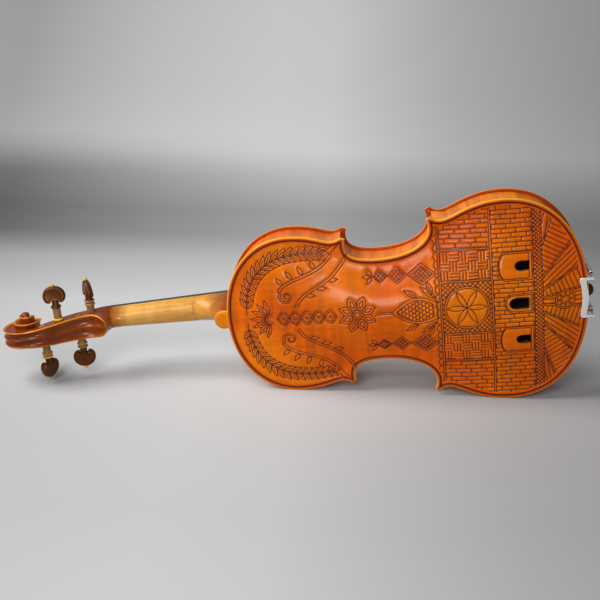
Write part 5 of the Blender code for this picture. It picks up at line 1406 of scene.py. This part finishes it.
def peg_piece(name, x, y, side, turn, collar, collar_tone):
    """A whole peg: tapered shaft, collar, stem, lobed head and bead."""
    far = 0.8 - np.interp(-x, [-row[0] for row in PEGBOX], [row[4] for row in PEGBOX])
    shaft = [
        (far - 0.6, PEG_RADIUS + PEG_TAPER * far - 0.7),
        (far - 0.3, PEG_RADIUS + PEG_TAPER * far - 0.2),
        (far, PEG_RADIUS + PEG_TAPER * far),
        (collar - 1.9, PEG_RADIUS + PEG_TAPER * collar),
        (collar - 1.5, COLLAR_RADIUS - 0.5),
        (collar - 1.1, COLLAR_RADIUS),
        (collar - 0.3, COLLAR_RADIUS),
        (collar + 0.1, COLLAR_RADIUS - 0.5),
        (collar + 0.5, STEM_RADIUS + 0.6),
        (collar + 2.2, STEM_RADIUS),
        (collar + HEAD_RISE + 3.6, STEM_RADIUS - 0.3),
    ]
    shaft_piece = turned(f"{name}_shaft", [(side * z, radius) for z, radius in shaft], (x, y))
    rings = [ring + (x, y, 0.0) for ring in peg_head(side, collar + HEAD_RISE, turn)]
    head = lofted(f"{name}_head", rings, 50.0)
    tip = collar + HEAD_RISE + HEAD_LENGTH + 0.8
    angles = np.linspace(0.03 * np.pi, 0.97 * np.pi, 13)
    ball = [(side * (tip - BEAD_RADIUS * math.cos(a)), BEAD_RADIUS * math.sin(a)) for a in angles]
    bead = turned(f"{name}_bead", ball, (x, y), 24, 60.0)
    for piece, tone in ((shaft_piece, SHAFT_TONE), (head, HEAD_TONE), (bead, BEAD_TONE)):
        values = np.full(len(piece.data.vertices), tone)
        if piece is shaft_piece:
            reach = mm_of(piece)[:, 2] * side
            values = np.where(reach > collar - 1.6, collar_tone, values)
            values = np.where(reach > collar + 0.3, HEAD_TONE, values)
        set_point_values(piece, "tone", values)
    return joined(name, [shaft_piece, head, bead])


def peg_ring(name, x, y, side, at, tone):
    """A rounded ring round a peg's shaft."""
    inner = PEG_RADIUS + PEG_TAPER * at + 0.3
    shape = [(-0.5, inner), (-0.5, RING_RADIUS - 0.8), (-0.38, RING_RADIUS - 0.25), (-0.15, RING_RADIUS)]
    shape += [(-step, radius) for step, radius in shape[::-1]]
    turns = np.linspace(0, 2 * np.pi, 40, endpoint=False)
    rings = []
    for turn in turns:
        ring = [(x + r * math.cos(turn), y + r * math.sin(turn), side * (at + step * RING_WIDTH)) for step, r in shape]
        rings.append(ring)
    points = np.vstack(rings)
    size = len(shape)
    faces = []
    for r in range(len(rings)):
        for k in range(size):
            a, b = r * size + k, r * size + (k + 1) % size
            after = ((r + 1) % len(rings)) * size
            faces.append((a, b, after + (k + 1) % size, after + k))
    piece = make_piece(name, points, faces, 50.0)
    set_point_values(piece, "tone", np.full(len(points), tone))
    return piece


# Pieces


# Broad patches of golden and red on the back, partly the varnish's own tone and partly painted light and painted
# shade: x, z, radius, strength
SUN_PATCHES = (
    (32.0, -44.0, 30.0, 0.9),
    (70.0, -68.0, 26.0, 0.7),
    (62.0, 66.0, 34.0, 0.7),
    (128.0, 36.0, 26.0, 0.5),
    (24.0, 20.0, 22.0, 0.35),
    (110.0, 20.0, 34.0, 0.35),
    (240.0, 2.0, 40.0, 0.75),
    (292.0, 0.0, 44.0, 0.8),
    (270.0, 52.0, 30.0, 0.5),
    (325.0, 0.0, 30.0, 0.5),
    (262.0, -62.0, 30.0, 0.4),
)
DUSK_PATCHES = (
    (178.0, 40.0, 34.0, 0.8),
    (215.0, 66.0, 26.0, 0.9),
    (236.0, 74.0, 22.0, 0.7),
    (186.0, -34.0, 34.0, 0.5),
    (120.0, -52.0, 26.0, 0.5),
    (340.0, 46.0, 30.0, 0.6),
    (230.0, -82.0, 24.0, 0.6),
)


def patch_values(points, patches):
    values = np.zeros(len(points))
    for x, z, radius, strength in patches:
        square = (points[:, 0] - x) ** 2 + (points[:, 1] - z) ** 2
        values = np.maximum(values, strength * np.exp(-square / (radius * radius)))
    return values


def plate_piece(node, arch, wood, base, facing, with_button, loops, lines):
    """A whole plate: outer face, rounded edge, hollow inner face and the walls of its openings."""
    outer, faces, border, heights, rim, carve, inner, inner_faces, foot, hollow = plate(
        arch, wood, with_button, loops, loops, lines
    )
    points = [(x, base + facing * h, z) for (x, z), h in zip(outer, heights)]
    below = len(points)
    points += [(x, base + facing * h, z) for (x, z), h in zip(inner, hollow)]
    skin = [tuple(face) for face in faces] + [tuple(face + below) for face in inner_faces]
    rings = [border]
    for reach, height, _ in EDGE_STEPS:
        rings.append(range(len(points), len(points) + len(border)))
        points += [(x, base + facing * height, z) for x, z in outline_loop(reach, with_button)]
    rings.append([below + i for i in foot])
    for upper, lower in zip(rings, rings[1:]):
        for i in range(len(upper)):
            k = (i + 1) % len(upper)
            skin.append((upper[i], upper[k], lower[k], lower[i]))
    inner_tree = tree_of(inner)
    on_border = set(border)
    for a, b in open_edges(faces):
        if a not in on_border:
            c, d = (below + inner_tree.find((*outer[i], 0.0))[1] for i in (b, a))
            skin.append((a, b, c, d))
    piece = make_piece(f"{node}_skin", points, skin, 60.0)
    rest = np.zeros(len(points) - len(outer))
    # The side's colours, with painted shade on its lower rings under the overhang
    side_rims = np.repeat([value for _, _, value in EDGE_STEPS], len(border))
    under_rims = np.full(len(inner), EDGE_STEPS[-1][2])
    flat = np.array([(point[0], point[2]) for point in points])
    on_button = (flat[:, 0] < 0.0) & with_button
    rims = np.concatenate((rim / 10.0, under_rims, side_rims))
    rims[on_button] = np.where(np.arange(len(points))[on_button] < below, BUTTON_RIM, BUTTON_SIDE_RIM)
    set_point_values(piece, "rim", rims)
    # Where the painted shade of the inside goes: the inner face but not its rim at the foot, and the walls of the
    # openings
    within = np.zeros(len(points))
    within[below : below + len(inner)] = 1.0
    within[[below + i for i in foot]] = 0.0
    if loops:
        verge = tree_of(np.vstack([sampled_loop(loop) for loop in loops]))
        within[: len(outer)][distances(outer, verge) < 0.2] = 1.0
    set_point_values(piece, "inside", within)
    set_point_values(piece, "carve", np.concatenate((carve, rest)))
    # Painted light and painted shade, partly the varnish's own tone, in broad patches
    set_point_values(piece, "sun", patch_values(flat, SUN_PATCHES))
    set_point_values(piece, "dusk", patch_values(flat, DUSK_PATCHES))
    return stand_for(piece, node)


# The heel button's face and side are coloured as the plate is this far from its edge, in centimetres
BUTTON_RIM = 0.135
BUTTON_SIDE_RIM = 0.05


# The bass sound hole: the line of its stem with the width there, and its two eyes
STEM_LINE = (
    (164.5, 24.0, 1.6),
    (158.0, 26.0, 2.4),
    (155.8, 30.2, 3.4),
    (160.5, 34.0, 4.8),
    (172.0, 35.8, 5.8),
    (184.0, 36.8, 6.2),
    (196.0, 37.8, 6.4),
    (208.0, 38.9, 6.2),
    (220.0, 40.4, 5.8),
    (231.5, 43.2, 4.8),
    (237.0, 47.2, 3.4),
    (235.8, 51.6, 2.4),
    (230.5, 54.4, 1.6),
)
EYES = ((165.5, 22.6, 3.3), (228.5, 55.4, 4.5))


def corners_cut(rows, times):
    """A smoother line through the same run, its ends kept."""
    for _ in range(times):
        early = 0.75 * rows[:-1] + 0.25 * rows[1:]
        late = 0.25 * rows[:-1] + 0.75 * rows[1:]
        middle = np.stack((early, late), axis=1).reshape(-1, rows.shape[1])
        rows = np.vstack((rows[:1], middle, rows[-1:]))
    return rows


def sound_holes():
    loops = []
    rows = corners_cut(np.array(STEM_LINE), 2)
    line, widths = rows[:, :2], rows[:, 2]
    stem = np.vstack((inset(line, widths / 2), inset(line, -widths / 2)[::-1]))
    for way in (1.0, -1.0):
        loops.append(stem * (1.0, way))
        loops += [ring((x, z), radius, 0, 360)[:-1] * (1.0, way) for x, z, radius in EYES]
    return loops


# Beginnings of the names of the nodes whose surfaces aren't copied
MADE_ANEW = ("back_plate", "top_plate", "neck", "peg_", "clamp_foot", "foot_cork")


# Half of the clamp foot's outline as (x, z): the hollow side on the back, the rounded end, the arm, the outer side
FOOT_OUTLINE = (
    (348.7, 0.0),
    (348.5, 6.0),
    (347.7, 12.0),
    (346.7, 17.0),
    (346.7, 19.4),
    (348.4, 20.8),
    (352.4, 20.7),
    (357.6, 20.5),
    (360.6, 20.4),
    (360.9, 19.3),
    (360.6, 18.2),
    (357.6, 18.1),
    (354.0, 17.9),
    (352.9, 16.4),
    (353.5, 13.0),
    (354.7, 7.0),
    (355.3, 0.0),
)
CORK_OUTLINE = ((349.3, 0.0), (349.1, 6.0), (348.4, 12.0), (347.5, 17.0), (347.5, 18.6), (348.4, 19.8), (351.6, 19.8), (351.8, 0.0))
FOOT_HEIGHTS = (-7.3, -5.8)
CORK_HEIGHTS = (-5.5, -4.3)
FOOT_EDGE = 0.4
CORK_EDGE = 0.15
FOOT_ROD_AT = (359.4, 19.3)
FOOT_ROD_RADIUS = 0.8
FOOT_ROD_TOP = 17.5


def slab(name, half_outline, heights, edge):
    """A flat piece with softened edges, from half of its outline as (x, z)."""
    half = corners_cut(np.array(half_outline), 1)
    outline = np.vstack((half, half[-2:0:-1] * (1.0, -1.0)))
    count = len(outline)
    points = [(x, y, z) for y in heights for x, z in outline]
    faces = [tuple(range(count)), tuple(range(count, 2 * count))]
    faces += [(i, (i + 1) % count, count + (i + 1) % count, count + i) for i in range(count)]
    piece = make_piece(name, points, faces, 30.0)
    soften = piece.modifiers.new("edge", "BEVEL")
    soften.width = edge * MM
    soften.segments = 3
    soften.angle_limit = math.radians(60)
    bpy.ops.object.modifier_apply(modifier="edge")
    bpy.ops.object.shade_smooth_by_angle(angle=math.radians(50))
    return piece


def foot_rod(side):
    """One of the clamp foot's rods, which stands up from its arm."""
    turns = np.linspace(0, 2 * np.pi, 20, endpoint=False)
    rings = []
    for y, radius in ((FOOT_HEIGHTS[0] + 0.5, 0.7), (FOOT_HEIGHTS[0] + 0.6, 0.8), (FOOT_ROD_TOP - 0.3, 0.8), (FOOT_ROD_TOP, 0.5)):
        x = FOOT_ROD_AT[0] + radius * np.cos(turns)
        z = side * FOOT_ROD_AT[1] + radius * np.sin(turns)
        rings.append(np.column_stack((x, turns * 0 + y, z)))
    return lofted("clamp_foot_rod", rings, 38.0)


def fine_copy(node, angle):
    """A node's shape with its triangles joined and its round faces shaded smooth, which stands for the node."""
    deselect()
    source = frame["nodes"][node]
    piece = source.copy()
    piece.data = source.data.copy()
    piece.name = f"{node}_surface"
    piece.parent = None
    for key in list(piece.keys()):
        del piece[key]
    bpy.context.scene.collection.objects.link(piece)
    piece.select_set(True)
    bpy.context.view_layer.objects.active = piece
    bpy.ops.object.mode_set(mode="EDIT")
    bpy.ops.mesh.select_all(action="SELECT")
    bpy.ops.mesh.remove_doubles(threshold=1e-5)
    bpy.ops.object.mode_set(mode="OBJECT")
    bpy.ops.object.shade_smooth_by_angle(angle=math.radians(angle))
    return stand_for(piece, node)


class VIOLIN_OT_finishes(bpy.types.Operator):
    """Makes the materials and gives every node its own"""

    bl_idname = "violin.finishes"
    bl_label = "Finishes"

    def execute(self, context):
        for slot, make in MATERIALS.items():
            SLOT_MATERIALS[slot] = make()
        for entry in frame["record"]["subparts"]:
            node = frame["nodes"][entry["node"]]
            node.data.materials.clear()
            node.data.materials.append(SLOT_MATERIALS[entry["material_slot"]])
        return {"FINISHED"}


class VIOLIN_OT_back(bpy.types.Operator):
    """Makes the carved back with its arched openings"""

    bl_idname = "violin.back"
    bl_label = "Carved back"

    def execute(self, context):
        loops = [arched_outline(slot, 0.0) for slot in SLOTS]
        plate_piece("back_plate", BACK_ARCH, 4.0, 0.0, -1.0, True, loops, carving_lines())
        return {"FINISHED"}


class VIOLIN_OT_top(bpy.types.Operator):
    """Makes the top with its sound holes"""

    bl_idname = "violin.top"
    bl_label = "Top"

    def execute(self, context):
        plate_piece("top_plate", TOP_ARCH, 3.0, RIB_HEIGHT, 1.0, False, sound_holes(), [])
        return {"FINISHED"}


class VIOLIN_OT_neck(bpy.types.Operator):
    """Makes the neck with its heel, pegbox and scroll"""

    bl_idname = "violin.neck"
    bl_label = "Neck and scroll"

    def execute(self, context):
        stand_for(neck_pieces(), "neck")
        return {"FINISHED"}


class VIOLIN_OT_pegs(bpy.types.Operator):
    """Makes the four pegs and their rings"""

    bl_idname = "violin.pegs"
    bl_label = "Pegs"

    def execute(self, context):
        for word, x, y, side, turn, collar, at, ring_tone, collar_tone in PEGS:
            stand_for(peg_piece(f"peg_{word}_wood", x, y, side, turn, collar, collar_tone), f"peg_{word}")
            stand_for(peg_ring(f"peg_ring_{word}_wood", x, y, side, at, ring_tone), f"peg_ring_{word}")
        return {"FINISHED"}


class VIOLIN_OT_clamp_foot(bpy.types.Operator):
    """Makes the chin rest clamp's foot with its rods, and its cork"""

    bl_idname = "violin.clamp_foot"
    bl_label = "Clamp foot"

    def execute(self, context):
        bar = slab("clamp_foot_bar", FOOT_OUTLINE, FOOT_HEIGHTS, FOOT_EDGE)
        stand_for(joined("clamp_foot_metal", [bar, foot_rod(1), foot_rod(-1)]), "clamp_foot")
        stand_for(slab("foot_cork_strip", CORK_OUTLINE, CORK_HEIGHTS, CORK_EDGE), "foot_cork")
        return {"FINISHED"}


class VIOLIN_OT_surfaces(bpy.types.Operator):
    """Makes a smooth surface for each remaining piece"""

    bl_idname = "violin.surfaces"
    bl_label = "Surfaces"

    def execute(self, context):
        for entry in frame["record"]["subparts"]:
            if not entry["node"].startswith(MADE_ANEW):
                fine_copy(entry["node"], context.scene.violin_sizes.smooth_angle)
        return {"FINISHED"}


class VIOLIN_OT_studio(bpy.types.Operator):
    """Makes the floor, the backdrop, the lamps and the camera"""

    bl_idname = "violin.studio"
    bl_label = "Studio"

    def execute(self, context):
        make_floor()
        make_lamps()
        make_camera(context.scene.violin_sizes)
        return {"FINISHED"}


def make_floor():
    """A grey paper sweep: flat under the violin, then curving up behind it."""
    profile = [(-6.0, 0.0), (-2.0, 0.0), (0.2, 0.0), (SWEEP_START, 0.0)]
    for i in range(1, 25):
        turn = math.radians(80.0) * i / 24
        profile.append((SWEEP_START + SWEEP_RADIUS * math.sin(turn), SWEEP_RADIUS * (1 - math.cos(turn))))
    profile.append((profile[-1][0] + 0.5, profile[-1][1] + 3.0))
    columns = np.linspace(-5.0, 5.0, 21)
    points = [(x, y, z) for y, z in profile for x in columns]
    wide = len(columns)
    faces = []
    for r in range(len(profile) - 1):
        for c in range(wide - 1):
            a = r * wide + c
            faces.append((a, a + 1, a + wide + 1, a + wide))
    data = bpy.data.meshes.new("studio_floor")
    data.from_pydata(points, [], faces)
    floor = bpy.data.objects.new("studio_floor", data)
    bpy.context.scene.collection.objects.link(floor)
    deselect()
    floor.select_set(True)
    bpy.context.view_layer.objects.active = floor
    bpy.ops.object.shade_smooth()
    floor.data.materials.append(paper())


SWEEP_START = 0.30
SWEEP_RADIUS = 0.9


def paper():
    """Grey paper with painted light: bright in the middle as a painted pool of light, with a painted shadow band where
    it bends up.
    """
    made = new_material("studio_grey", (0.40, 0.40, 0.41), 0.95)
    split = add_node(made, "ShaderNodeSeparateXYZ")
    link(made, add_node(made, "ShaderNodeTexCoord").outputs["Object"], split.inputs[0])
    across = spread(made, split.outputs["X"], -0.6, 0.6)
    depth = spread(made, split.outputs["Y"], -0.3, 0.9)
    tone = mix(made, 1.0, ramp(made, depth, PAPER_PAINTED_LIGHT_DEPTH), ramp(made, across, PAPER_PAINTED_LIGHT_WIDTH), "MULTIPLY")
    # Painted shadow along the bend
    bend = mix(made, 1.0, tone, ramp(made, across, BEND_PAINTED_SHADOW_WIDTH), "MULTIPLY")
    set_colour(made, mix(made, ramp(made, depth, BEND_PAINTED_SHADOW_DEPTH), tone, bend))
    dimmed(made, 0.1, (1.0, 1.0, 1.0))
    return made


# Painted light on the paper over its depth and its width, and the painted shadow of the dark bend
PAPER_PAINTED_LIGHT_DEPTH = (
    (0.03, 0.45),
    (0.12, 0.48),
    (0.33, 0.60),
    (0.42, 0.62),
    (0.52, 0.52),
    (0.57, 0.45),
    (0.62, 0.36),
    (0.68, 0.34),
    (0.75, 0.47),
    (0.81, 0.63),
    (0.92, 0.60),
)
PAPER_PAINTED_LIGHT_WIDTH = ((0.05, 0.50), (0.25, 0.78), (0.42, 0.97), (0.50, 1.0), (0.67, 0.80), (0.73, 0.76), (0.86, 0.68))
BEND_PAINTED_SHADOW_WIDTH = ((0.10, 0.50), (0.30, 0.80), (0.50, 1.0))
BEND_PAINTED_SHADOW_DEPTH = ((0.55, 0.0), (0.62, 1.0), (0.76, 1.0), (0.84, 0.0))


def make_lamps():
    lamps = (
        ("top", (-1.00, -0.20, 1.20), 0.9, 26.0),
        ("front", (-0.30, -1.35, 0.90), 0.7, 14.0),
        ("side", (1.3, -1.1, 0.7), 0.8, 1.5),
        ("sheen", (0.06, -0.80, 0.12), 0.16, 2.6),
    )
    for name, place, size, power in lamps:
        data = bpy.data.lights.new(name, "AREA")
        data.size = size
        data.energy = power
        lamp = bpy.data.objects.new(name, data)
        lamp.location = place
        lamp.rotation_euler = (-Vector(place)).to_track_quat("-Z", "Y").to_euler()
        lamp.visible_camera = False
        lamp.visible_diffuse = name != "sheen"
        bpy.context.scene.collection.objects.link(lamp)
    world = bpy.data.worlds.new("studio")
    world.use_nodes = True
    world.node_tree.nodes["Background"].inputs["Color"].default_value = (0.75, 0.76, 0.78, 1.0)
    world.node_tree.nodes["Background"].inputs["Strength"].default_value = 0.15
    bpy.context.scene.world = world
    bpy.context.scene.view_settings.view_transform = "Standard"


def make_camera(sizes):
    """A camera at the photograph's place, which was solved in the violin's own frame."""
    data = bpy.data.cameras.new("camera")
    camera = bpy.data.objects.new("camera", data)
    bpy.context.scene.collection.objects.link(camera)
    yaw, pitch, roll = (math.radians(turn) for turn in (sizes.camera_yaw, sizes.camera_pitch, sizes.camera_roll))
    ahead = Vector((math.sin(yaw) * math.cos(pitch), math.cos(yaw) * math.cos(pitch), -math.sin(pitch)))
    right = Vector((math.cos(yaw), -math.sin(yaw), 0.0))
    up = right.cross(ahead)
    side = math.cos(roll) * right + math.sin(roll) * up
    rise = -math.sin(roll) * right + math.cos(roll) * up
    turn = Matrix((side, rise, -ahead)).transposed().to_4x4()
    camera.matrix_world = TO_WORLD @ Matrix.Translation(Vector(sizes.camera_place)) @ turn
    data.lens = sizes.focal_length
    data.sensor_width = 36.0
    data.shift_y = sizes.camera_shift
    data.clip_end = 50.0
    bpy.context.scene.camera = camera


class ViolinSizes(bpy.types.PropertyGroup):
    smooth_angle: bpy.props.FloatProperty(
        name="Smooth angle", description="Faces that meet at less than this are shaded as one", default=38.0
    )
    camera_place: bpy.props.FloatVectorProperty(
        name="Camera place", description="Camera's place in the violin's own frame",
        default=(0.1861, -1.0145, 0.3974), subtype="TRANSLATION"
    )
    camera_yaw: bpy.props.FloatProperty(name="Camera yaw", description="Turn about the upright, in degrees", default=-6.245)
    camera_pitch: bpy.props.FloatProperty(name="Camera pitch", description="Look down, in degrees", default=20.34)
    camera_roll: bpy.props.FloatProperty(name="Camera roll", description="Turn about the view, in degrees", default=-6.016)
    camera_shift: bpy.props.FloatProperty(name="Camera shift", description="Vertical shift of the lens", default=-0.0067)
    focal_length: bpy.props.FloatProperty(name="Focal length", description="Lens in millimetres", default=65.84)


class VIOLIN_PT_panel(bpy.types.Panel):
    """Sizes and steps of the violin"""

    bl_idname = "VIOLIN_PT_panel"
    bl_label = "Carved violin"
    bl_space_type = "VIEW_3D"
    bl_region_type = "UI"
    bl_category = "Violin"

    def draw(self, context):
        sizes = context.scene.violin_sizes
        for name in sizes.bl_rna.properties.keys()[2:]:
            self.layout.prop(sizes, name)
        for operator in OPERATORS:
            self.layout.operator(operator.bl_idname)


OPERATORS = (
    VIOLIN_OT_finishes,
    VIOLIN_OT_back,
    VIOLIN_OT_top,
    VIOLIN_OT_neck,
    VIOLIN_OT_pegs,
    VIOLIN_OT_clamp_foot,
    VIOLIN_OT_surfaces,
    VIOLIN_OT_studio,
)
CLASSES = (ViolinSizes, *OPERATORS, VIOLIN_PT_panel)


def register():
    for kind in CLASSES:
        bpy.utils.register_class(kind)
    bpy.types.Scene.violin_sizes = bpy.props.PointerProperty(type=ViolinSizes)


def unregister():
    del bpy.types.Scene.violin_sizes
    for kind in reversed(CLASSES):
        bpy.utils.unregister_class(kind)


def main():
    register()
    bpy.ops.violin.finishes()
    bpy.ops.violin.back()
    bpy.ops.violin.top()
    bpy.ops.violin.neck()
    bpy.ops.violin.pegs()
    bpy.ops.violin.clamp_foot()
    bpy.ops.violin.surfaces()
    bpy.ops.violin.studio()


if __name__ == "__main__":
    main()
